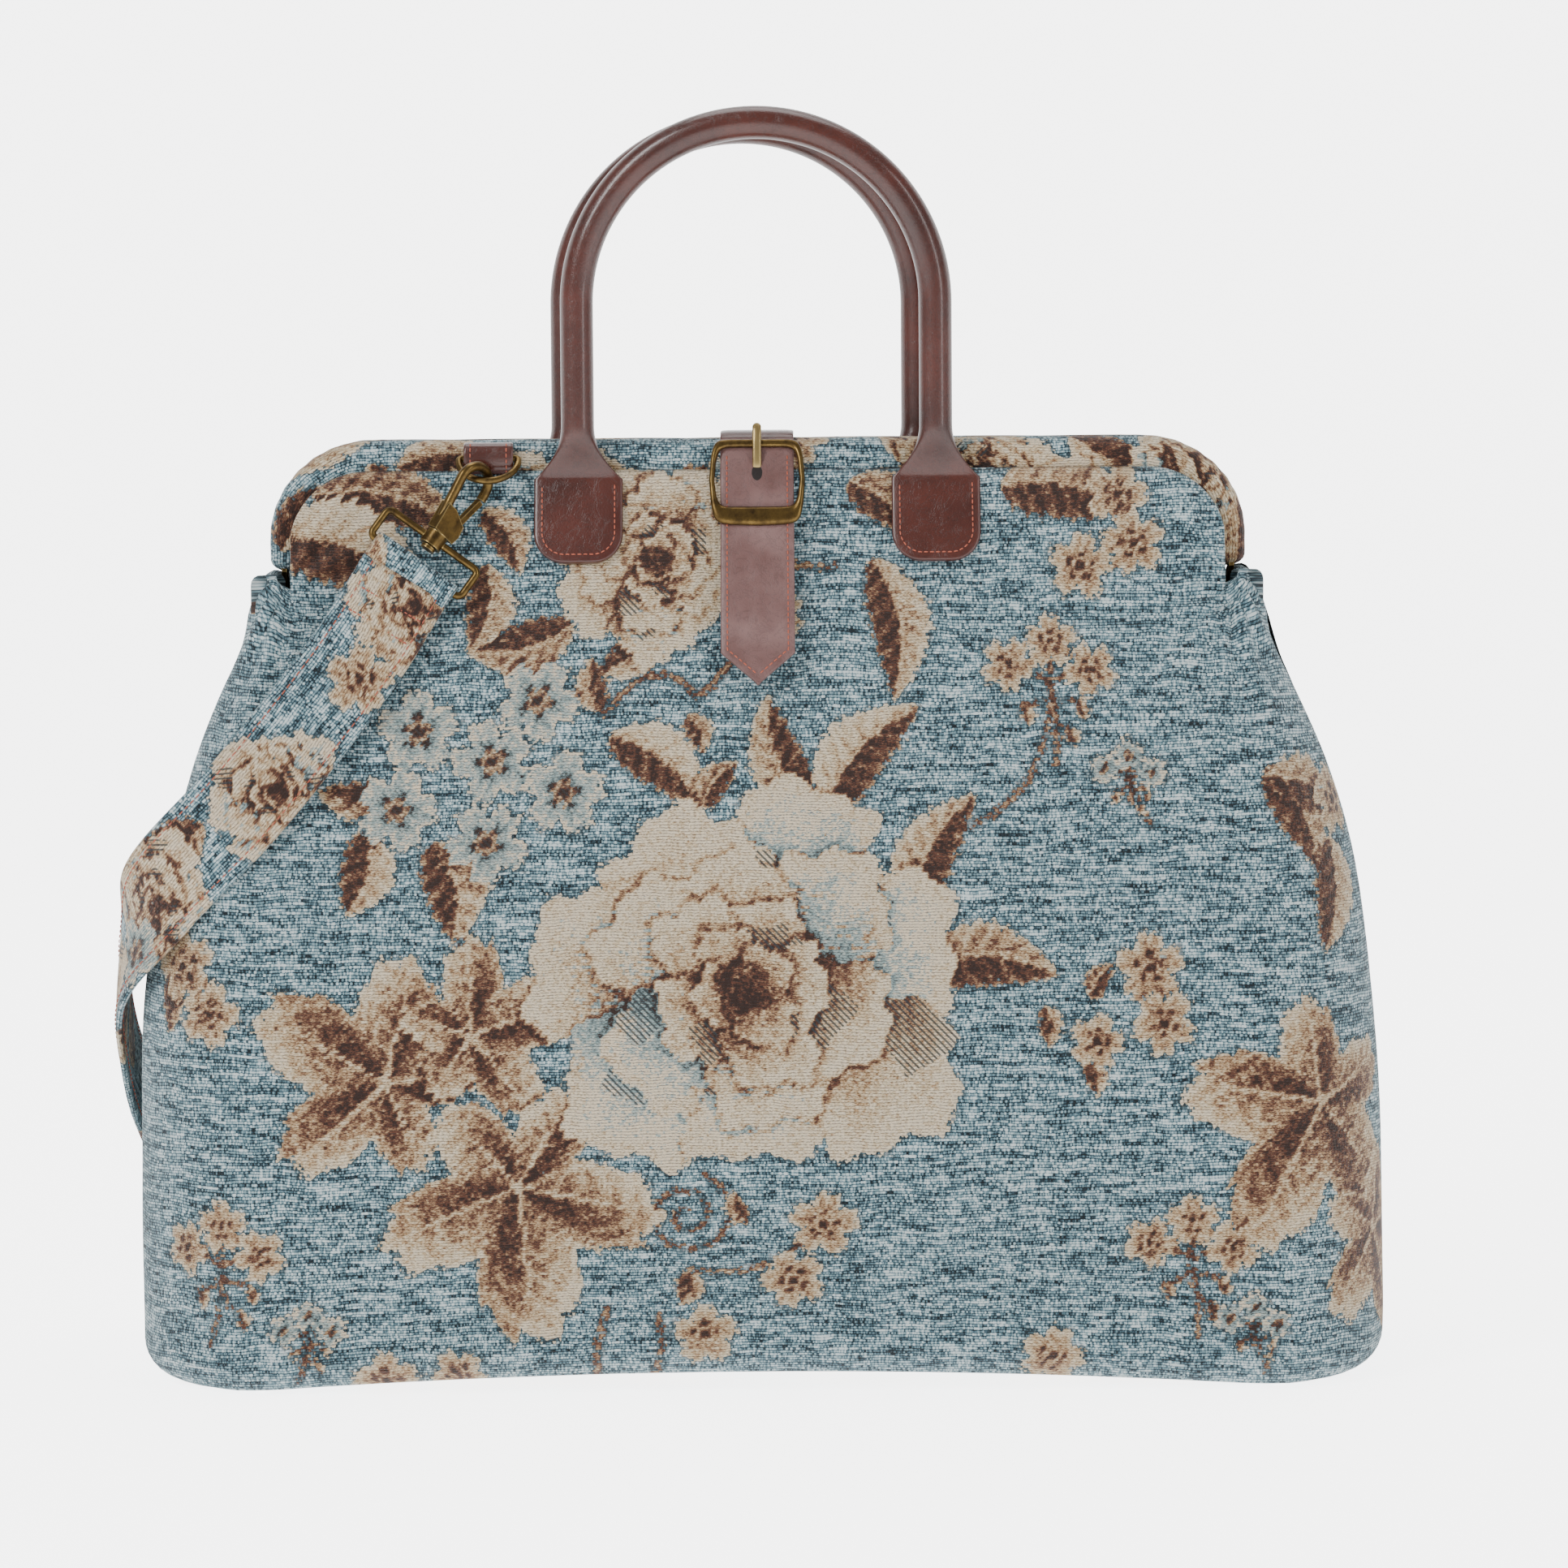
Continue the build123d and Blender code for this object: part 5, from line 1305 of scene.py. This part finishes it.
def ring_tab(name, back=False):
    """Short leather roll sewn to the rim round the ring's bar: a D-shaped section carried across."""
    low, high = (np.array(corner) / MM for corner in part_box("ring_tab_front"))
    turn = np.linspace(0, 2 * np.pi, 44, endpoint=False)
    half_z = (high[2] - low[2]) / 2
    bulge = high[1] - low[1]
    flat = np.maximum(np.cos(turn), -0.05)
    y = high[1] - bulge * flat**0.75 * 1.0
    y = np.where(np.cos(turn) < 0, high[1], high[1] - bulge * np.abs(np.cos(turn)) ** 0.62)
    z = (high[2] + low[2]) / 2 + half_z * np.sign(np.sin(turn)) * np.abs(np.sin(turn)) ** 0.75
    places = np.concatenate([
        low[0] + 0.9 * (1 - np.cos(np.linspace(0, np.pi / 2, 6))),
        np.linspace(low[0] + 1.6, high[0] - 1.6, 14),
        high[0] - 0.9 * (1 - np.cos(np.linspace(np.pi / 2, 0, 6)))])
    rim = np.minimum(places - low[0], high[0] - places)
    shrink = 1 - 0.09 * np.clip(1 - rim / 0.9, 0, 1) ** 2
    centre = np.array([high[1] - bulge / 2, (high[2] + low[2]) / 2])
    points = stacked(
        places[:, None],
        centre[0] + (y - centre[0]) * shrink[:, None],
        centre[1] + (z - centre[1]) * shrink[:, None])
    if back:
        points = back_side(points)
    return make_piece(name, points, tube_faces(*points.shape[:2]), MATERIALS["leather"])


# -------------------------------------------------------------- shoulder strap
CLIP_TILT = math.radians(36)
CLIP_LEAN = math.radians(15)
LOOP_X = np.array([math.cos(CLIP_TILT), 0, -math.sin(CLIP_TILT)])
LOOP_Y = np.array([
    math.sin(CLIP_TILT) * math.cos(CLIP_LEAN),
    math.sin(CLIP_LEAN),
    math.cos(CLIP_TILT) * math.cos(CLIP_LEAN)])
LOOP_Z = np.cross(LOOP_X, LOOP_Y)
LOOP_MIDDLE = np.array([-126.93, -38.31, 330.11])
LOOP_DROP = 13
NECK_DROP = 19.5
SLING_HALF = 19
SLING_THICK = 3.2
SLING_ROUTE = (
    (-154, -52, 289), (-174, -60, 262), (-202, -70, 228), (-233, -66, 195), (-251, -42, 163), (-254, -8, 133),
    (-253, 28, 107), (-247, 62, 88), (-227, 89, 75), (-190, 99, 66), (-140, 101, 62), (-80, 101, 66),
    (-20, 101, 80), (35, 99, 104), (82, 92, 138), (118, 84, 178),
    (140, 74, 222), (152, 63, 262), (149, 52, 290),
)


def sling_line():
    """Middle line of the shoulder strap with its side and lift vectors.

    Along the bag the strap lies to the body; near each clip its sides turn into line with the clip's loop.
    """
    front = LOOP_MIDDLE - NECK_DROP * LOOP_Y
    rear = front * np.array([-1, -1, 1])
    path, run = even_path([front, *SLING_ROUTE, rear], 1.7)
    heading = unit(np.gradient(path, axis=0))
    wide, deep = half_width(path[:, 2]), half_depth(path[:, 2])
    away_x = np.sign(path[:, 0]) * np.abs(path[:, 0] / wide) ** 5 / wide
    away_y = np.sign(path[:, 1]) * np.abs(path[:, 1] / deep) ** 5 / deep
    outward = unit(np.stack([away_x, away_y, np.zeros(run.size)], axis=-1))
    side = unit(np.cross(heading, outward))
    near_front = (1 - smooth(run / 45))[:, None]
    near_back = (1 - smooth((run[-1] - run) / 45))[:, None]
    back_x = LOOP_X * np.array([1, 1, -1])
    side = side * (1 - near_front) * (1 - near_back)
    side = side + near_front * LOOP_X * np.sign(side_match(outward, heading, 0) @ LOOP_X)
    side = side + near_back * back_x * np.sign(side_match(outward, heading, -1) @ back_x)
    side = unit(side - heading * (side * heading).sum(-1, keepdims=True))
    return path, side, unit(np.cross(side, heading)), run


def side_match(outward, heading, place):
    """Side vector at one end of the strap, to tell which way round the clip's loop lies."""
    return np.cross(heading[place], outward[place])


def sling_half(name, path, side, lift, run, seed):
    """Half of the shoulder strap: a thin rounded slab with woven figures of its own."""
    base = rounded_section(56, SLING_HALF, SLING_THICK / 2, 9)
    pillow = 0.35 * np.cos(np.pi * np.clip(base[:, 0] / 13.5, -1, 1) / 2)
    selvedge = np.abs(base[:, 0]) > 13.5
    base[:, 1] += np.sign(base[:, 1]) * pillow - 0.35 * np.sign(base[:, 1]) * selvedge * 0.6
    sway = 0.5 * np.sin(run / 19 + 0.7)[:, None]
    section = stacked(base[None, :, 0], base[None, :, 1] + sway * (1 - (base[None, :, 0] / 19) ** 2))
    points = swept(path, side, lift, section)
    around = np.concatenate([[0], np.cumsum(np.linalg.norm(np.diff(base, axis=0), axis=1))])
    cloth = stacked(run[:, None], around[None])
    pattern = Pattern(cloth[..., 0], cloth[..., 1] - 60)
    strip_figures(pattern, run[-1], seed, 31)
    pattern.up = cloth[..., 1].ravel() - 19
    strip_figures(pattern, run[-1], seed + 3, 29)
    return woven_tube(name, points, cloth, pattern)


def sling_fold(name, seed, back=False):
    """Turned end of the shoulder strap: one layer that goes up, round the loop's lower bar and back."""
    turn = np.linspace(-np.pi / 2, np.pi / 2, 16)
    reach = 2.75
    rise = np.linspace(-NECK_DROP - 1, -LOOP_DROP, 9)[:-1]
    y = np.concatenate([rise, -LOOP_DROP + reach * np.cos(turn), rise[::-1]])
    spread = 0.8 + (reach - 0.8) * smooth((rise + NECK_DROP + 1) / (NECK_DROP + 1 - LOOP_DROP))
    z = np.concatenate([-spread, reach * np.sin(turn), spread[::-1]])
    path = LOOP_MIDDLE + y[:, None] * LOOP_Y + z[:, None] * LOOP_Z
    heading = unit(np.gradient(path, axis=0))
    side = np.broadcast_to(LOOP_X, path.shape)
    fold_section = np.broadcast_to(rounded_section(40, SLING_HALF, 0.8, 8), (y.size, 40, 2))
    points = swept(path, side, unit(np.cross(heading, side)), fold_section)
    run = np.concatenate([[0], np.cumsum(np.linalg.norm(np.diff(path, axis=0), axis=1))])
    cloth = stacked(run[:, None] + 4, np.linspace(0, 80, 40)[None])
    pattern = Pattern(cloth[..., 0], cloth[..., 1] - 20)
    strip_figures(pattern, 40, seed, 20)
    if back:
        points = back_side(points)
    return woven_tube(name, points, cloth, pattern)


# ---------------------------------------------------------------------- stage
CAMERA_DISTANCE = 2.2
CAMERA_FIELD = 0.614
CAMERA_CLIMB = 4.5
WORLD_STRENGTH = 0.34


def camera_and_light():
    """Camera at the front, a little above the middle, with a white world and large soft lamps."""
    scene = bpy.context.scene
    lens = bpy.data.cameras.new("camera")
    lens.sensor_width = 36
    lens.lens = lens.sensor_width * CAMERA_DISTANCE / CAMERA_FIELD
    camera = bpy.data.objects.new("camera", lens)
    scene.collection.objects.link(camera)
    climb = math.radians(CAMERA_CLIMB)
    target = np.array([0.011, -0.05, 0.234])
    spot = target + CAMERA_DISTANCE * np.array([0, -math.cos(climb), math.sin(climb)])
    camera.location = spot.tolist()
    camera.rotation_euler = (math.radians(90) - climb, math.radians(0.4), 0)
    scene.camera = camera
    world = bpy.data.worlds.new("studio")
    world.use_nodes = True
    world.node_tree.nodes["Background"].inputs[0].default_value = (1, 1, 1, 1)
    world.node_tree.nodes["Background"].inputs[1].default_value = WORLD_STRENGTH
    scene.world = world
    for name, place, size, power in (
        ("key", (-1.3, -1.6, 1.7), (0.55, 1.5), 33),
        ("fill", (1.6, -1.5, 1.0), (0.4, 1.6), 10),
        ("top", (0.1, 0.3, 2.2), (1.5, 1.0), 16),
    ):
        lamp = bpy.data.lights.new(name, "AREA")
        lamp.shape = "RECTANGLE"
        lamp.size, lamp.size_y = size
        lamp.energy = power
        holder = bpy.data.objects.new(name, lamp)
        scene.collection.objects.link(holder)
        holder.location = place
        aim = np.array([0, 0, 0.22]) - np.array(place)
        yaw = math.atan2(aim[1], aim[0]) - math.pi / 2
        pitch = math.acos(-aim[2] / np.linalg.norm(aim))
        holder.rotation_euler = (pitch, 0, yaw)


def sweep_floor():
    """Pale floor that curves up into a backdrop: a quarter circle between two flats."""
    turn = np.linspace(0, np.pi / 2, 24)
    y = np.concatenate([[-14.0], 1.6 + 1.2 * np.sin(turn), [2.8]])
    z = np.concatenate([[0.0], 1.2 - 1.2 * np.cos(turn), [4.5]])
    x = np.array([-14.0, 14.0])
    points = stacked(x[None, :], y[:, None], z[:, None]) / MM
    material, nodes, shader = new_material("backdrop")
    nodes.set(shader, "Base Color", (0.92, 0.92, 0.92, 1))
    nodes.set(shader, "Roughness", 0.9)
    nodes.set(shader, "Emission Color", (1, 1, 1, 1))
    seen = nodes.add("ShaderNodeLightPath").outputs["Is Camera Ray"]
    nodes.set(shader, "Emission Strength", nodes.math("MULTIPLY_ADD", seen, 3.6, 0.9))
    index = np.arange(points.shape[0] * 2).reshape(-1, 2)
    floor = make_piece("floor", points, grid_faces(index), material)
    return floor


class BagSizes(bpy.types.PropertyGroup):
    """Sizes that a user would change."""

    cloth_step: bpy.props.FloatProperty(
        name="Cloth step", description="Distance between points of the front cloth, in millimetres",
        default=1.62, min=1.5, max=20, unit="NONE")
    stitch_pitch: bpy.props.FloatProperty(
        name="Stitch pitch", description="Distance from stitch to stitch, in millimetres",
        default=2.35, min=1, max=10, unit="NONE")


class BagColours(bpy.types.PropertyGroup):
    """Colours that a user would change."""

    ground: bpy.props.FloatVectorProperty(
        name="Ground", description="Middle colour of the chenille ground", subtype="COLOR", min=0, max=1,
        default=COLOURS["ground"])
    brown: bpy.props.FloatVectorProperty(
        name="Brown yarn", description="Dark yarn of the leaves", subtype="COLOR", min=0, max=1,
        default=COLOURS["brown"])
    cream: bpy.props.FloatVectorProperty(
        name="Cream yarn", description="Light yarn of the petals", subtype="COLOR", min=0, max=1,
        default=COLOURS["cream"])
    leather: bpy.props.FloatVectorProperty(
        name="Leather", description="Darker colour of the handles and straps", subtype="COLOR", min=0, max=1,
        default=LEATHER_DARK)
    brass: bpy.props.FloatVectorProperty(
        name="Brass", description="Body colour of the fittings", subtype="COLOR", min=0, max=1,
        default=COLOURS["brass"])
    thread: bpy.props.FloatVectorProperty(
        name="Thread", description="Darker colour of the stitches", subtype="COLOR", min=0, max=1,
        default=COLOURS["thread"])
    lining: bpy.props.FloatVectorProperty(
        name="Lining", description="Darker colour of the cotton lining", subtype="COLOR", min=0, max=1,
        default=COLOURS["lining"])


class BAG_OT_stage(bpy.types.Operator):
    """Makes the camera, the lamps, the floor and every finish."""

    bl_idname = "bag.stage"
    bl_label = "Stage and Finishes"

    def execute(self, context):
        make_materials()
        sweep_floor()
        camera_and_light()
        return {"FINISHED"}


class BAG_OT_panels(bpy.types.Operator):
    """Makes the front, back and base cloth."""

    bl_idname = "bag.panels"
    bl_label = "Cloth Panels"

    def execute(self, context):
        step = context.scene.carpet_bag.cloth_step
        front = panel("front_cloth", step, main_figures)
        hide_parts("front_panel")
        rear = panel("back_cloth", step * 1.35, lambda pattern: plain_figures(pattern, 3), back=True)
        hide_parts("back_panel")
        for cloth, jaw in ((front, "front_jaw"), (rear, "back_jaw")):
            jaw_blend(cloth)
        base = bottom_sheet()
        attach(base, "root")
        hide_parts("bottom_panel")
        board = bent_board()
        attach(board, "root")
        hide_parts("base_board")
        return {"FINISHED"}


class BAG_OT_lining(bpy.types.Operator):
    """Makes the two halves of the lining."""

    bl_idname = "bag.lining"
    bl_label = "Lining"

    def execute(self, context):
        for side, back in (("front", False), ("back", True)):
            half = lining_half(f"lining_{side}", back)
            jaw_blend(half)
            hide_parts("lining")
        return {"FINISHED"}


class BAG_OT_rims(bpy.types.Operator):
    """Makes the padded covers of the two jaws."""

    bl_idname = "bag.rims"
    bl_label = "Rim Covers"

    def execute(self, context):
        for side, back, seed in (("front", False, 11), ("back", True, 23)):
            cover = rim_cover(f"rim_roll_{side}", seed, back)
            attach(cover, f"{side}_jaw")
            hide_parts(f"{side}_rim_cover")
        return {"FINISHED"}


class BAG_OT_handles(bpy.types.Operator):
    """Makes the two rolled handles and the stitches on their tabs."""

    bl_idname = "bag.handles"
    bl_label = "Handles"

    def execute(self, context):
        pitch = context.scene.carpet_bag.stitch_pitch
        for side, back in (("front", False), ("back", True)):
            grip = handle(f"grip_{side}", back)
            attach(grip, f"{side}_jaw")
            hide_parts(f"handle_{side}")
            for place, middle in (("left", -HANDLE_SPAN), ("right", HANDLE_SPAN)):
                inset = 3.2
                turn = np.linspace(np.pi, 2 * np.pi, 40)
                bend = TAB_ROUND - inset
                x = np.concatenate([[-TAB_WIDTH / 2 + inset],
                                    np.sign(np.cos(turn)) * (TAB_WIDTH / 2 - TAB_ROUND) + bend * np.cos(turn),
                                    [TAB_WIDTH / 2 - inset]])
                down = np.concatenate([[3.0], TAB_LENGTH - TAB_ROUND - bend * np.sin(turn), [3.0]])
                row = APRON_TOP - (TAB_DROP + down)[:, None] * APRON_UP + (0.3 + TAB_THICK) * APRON_OUT
                row[:, 0] = middle + x
                out = np.broadcast_to(APRON_OUT, row.shape)
                if back:
                    row = back_side(row) - np.array([REAR_HANDLE_SHIFT, 0, 0])
                    out = back_side(out)
                thread = stitches(f"tab_thread_{side}_{place}", row, out, MATERIALS["thread"], pitch)
                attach(thread, f"{side}_jaw")
        return {"FINISHED"}


class BAG_OT_closure(bpy.types.Operator):
    """Makes the closing strap, the billet and their stitches."""

    bl_idname = "bag.closure"
    bl_label = "Closing Strap"

    def execute(self, context):
        pitch = context.scene.carpet_bag.stitch_pitch
        path = closure_path()
        widths = np.full(path.shape[0], STRAP_HALF)
        strap = strap_piece("closing_strap", path, widths, LEATHER, MATERIALS["leather"])
        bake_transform(strap)
        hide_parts("closure_strap")
        down = np.concatenate([np.linspace(-1.6, 86, 90), 100.8 - 14 * (1 - np.linspace(0, 1, 16)[1:])])
        widths = np.where(down > 87.8, STRAP_HALF * np.clip((100.8 - down) / 13, 0.03, 1), STRAP_HALF)
        middle = strap_point(np.zeros(down.size), down, billet_rise(down))
        billet = strap_piece("billet", middle, widths, LEATHER, MATERIALS["billet"])
        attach(billet, "closure_flap")
        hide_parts("billet_strap")
        inset = 2.6
        side = STRAP_HALF - inset
        for place, sign in (("left", -1), ("right", 1)):
            line = np.concatenate([np.linspace(5.5, 33, 30), np.linspace(38, 86.6, 50)])
            across = np.full(line.size, sign * side)
            tip = np.linspace(0, 1, 10)[1:]
            line = np.concatenate([line, 86.6 + tip * 10.6])
            across = np.concatenate([across, sign * side * (1 - tip)])
            row = strap_point(across, line, billet_rise(line) + LEATHER / 2)
            out = np.broadcast_to(STRAP_OUT, row.shape)
            thread = stitches(f"billet_thread_{place}", row, out, MATERIALS["thread"], pitch)
            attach(thread, "closure_flap")
        return {"FINISHED"}


class BAG_OT_buckle(bpy.types.Operator):
    """Makes the buckle, its tongue and the two ring tabs."""

    bl_idname = "bag.buckle"
    bl_label = "Buckle and Tabs"

    def execute(self, context):
        pitch = context.scene.carpet_bag.stitch_pitch
        for piece, node in ((buckle(), "buckle_frame"), (tongue(), "buckle_tongue")):
            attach(piece, "closure_flap")
            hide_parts(node)
        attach(tongue_hole(), "closure_flap")
        low, high = (np.array(corner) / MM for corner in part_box("ring_tab_front"))
        for side, back in (("front", False), ("back", True)):
            tab = ring_tab(f"ring_roll_{side}", back)
            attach(tab, f"{side}_jaw")
            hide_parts(f"ring_tab_{side}")
            for place, x in (("left", low[0] + 2.6), ("right", high[0] - 2.6)):
                turn = np.linspace(1.15, -1.15, 24)
                bulge = high[1] - low[1]
                y = high[1] - bulge * np.abs(np.cos(turn)) ** 0.62 - 0.05
                half_z = (high[2] - low[2]) / 2
                z = (high[2] + low[2]) / 2 + half_z * np.sign(np.sin(turn)) * np.abs(np.sin(turn)) ** 0.75
                row = np.stack([np.full(24, x), y, z], axis=-1)
                out = unit(np.stack([np.zeros(24), -np.cos(turn), np.sin(turn)], axis=-1))
                if back:
                    row, out = back_side(row), back_side(out)
                thread = stitches(f"ring_thread_{side}_{place}", row, out, MATERIALS["thread"], pitch)
                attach(thread, f"{side}_jaw")
        return {"FINISHED"}


class BAG_OT_sling(bpy.types.Operator):
    """Makes the shoulder strap in two halves, its turned ends and its stitches."""

    bl_idname = "bag.sling"
    bl_label = "Shoulder Strap"

    def execute(self, context):
        path, side, lift, run = sling_line()
        half = run.size // 2
        for place, part, seed in (("front", slice(0, half + 1), 31), ("back", slice(half, None), 43)):
            jaw = f"{place}_jaw"
            local = run[part] - run[part][0]
            strap = sling_half(f"sling_{place}", path[part], side[part], lift[part], local, seed)
            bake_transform(strap)
            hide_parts("shoulder_strap")
            fold = sling_fold(f"sling_fold_{place}", seed + 5, place == "back")
            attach(fold, jaw)
            for row, across in (("left", -14.6), ("right", 14.6)):
                for face in (-1, 1):
                    line = path[part] + across * side[part] + face * (SLING_THICK / 2 - 0.1) * lift[part]
                    label = "outer" if face > 0 else "inner"
                    thread = stitches(f"sling_thread_{place}_{row}_{label}", line, face * lift[part],
                                      MATERIALS["thread"], 3.1, 2.3, 0.26)
                    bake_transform(thread)
            for number, drop in enumerate((13, 23)):
                at = int(drop / 1.7) if place == "front" else -1 - int(drop / 1.7)
                across = np.linspace(-13.6, 13.6, 20)[:, None]
                for face, label in ((1, "outer"), (-1, "inner")):
                    line = path[at] + across * side[at] + face * (SLING_THICK / 2 + 0.3) * lift[at]
                    out = np.broadcast_to(face * lift[at], line.shape)
                    tack_name = f"tack_{place}_{number}_{label}"
                    tack = stitches(tack_name, line, out, MATERIALS["thread"], 1.9, 1.8, 0.36)
                    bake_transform(tack)
        return {"FINISHED"}


CAD_FINISHES = {
    "brass": ("snap_stud", "snap_socket", "ring_front", "ring_back", "hook_front",
              "hook_back", "hook_gate_front", "hook_gate_back", "swivel_loop_front", "swivel_loop_back",
              "hinge_rivet_left", "hinge_rivet_right", "frame_bar_front", "frame_bar_back"),
}


class BAG_OT_fittings(bpy.types.Operator):
    """Gives the construction model's own fittings their finishes."""

    bl_idname = "bag.fittings"
    bl_label = "Fittings"

    def execute(self, context):
        for finish, names in CAD_FINISHES.items():
            for name in names:
                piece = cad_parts[name]
                piece.data.materials.clear()
                piece.data.materials.append(MATERIALS[finish])
        return {"FINISHED"}


OPERATORS = (BAG_OT_stage, BAG_OT_panels, BAG_OT_lining, BAG_OT_rims, BAG_OT_handles, BAG_OT_closure,
             BAG_OT_buckle, BAG_OT_sling, BAG_OT_fittings)


class BAG_PT_sidebar(bpy.types.Panel):
    """Lists the pieces of the bag in the sidebar."""

    bl_label = "Carpet Bag"
    bl_idname = "BAG_PT_sidebar"
    bl_space_type = "VIEW_3D"
    bl_region_type = "UI"
    bl_category = "Carpet Bag"

    def draw(self, context):
        for operator in OPERATORS:
            self.layout.operator(operator.bl_idname)


CLASSES = (BagSizes, BagColours, *OPERATORS, BAG_PT_sidebar)


def register():
    """Adds the classes and the scene's sizes and colours."""
    for cls in CLASSES:
        bpy.utils.register_class(cls)
    bpy.types.Scene.carpet_bag = bpy.props.PointerProperty(type=BagSizes)
    bpy.types.Scene.carpet_bag_colours = bpy.props.PointerProperty(type=BagColours)


def unregister():
    """Takes them away again."""
    del bpy.types.Scene.carpet_bag_colours
    del bpy.types.Scene.carpet_bag
    for cls in reversed(CLASSES):
        bpy.utils.unregister_class(cls)


def main():
    """Makes the whole bag."""
    register()
    for step in ("stage", "panels", "lining", "rims", "handles", "closure", "buckle", "sling", "fittings"):
        getattr(bpy.ops.bag, step)()


if __name__ == "__main__":
    main()
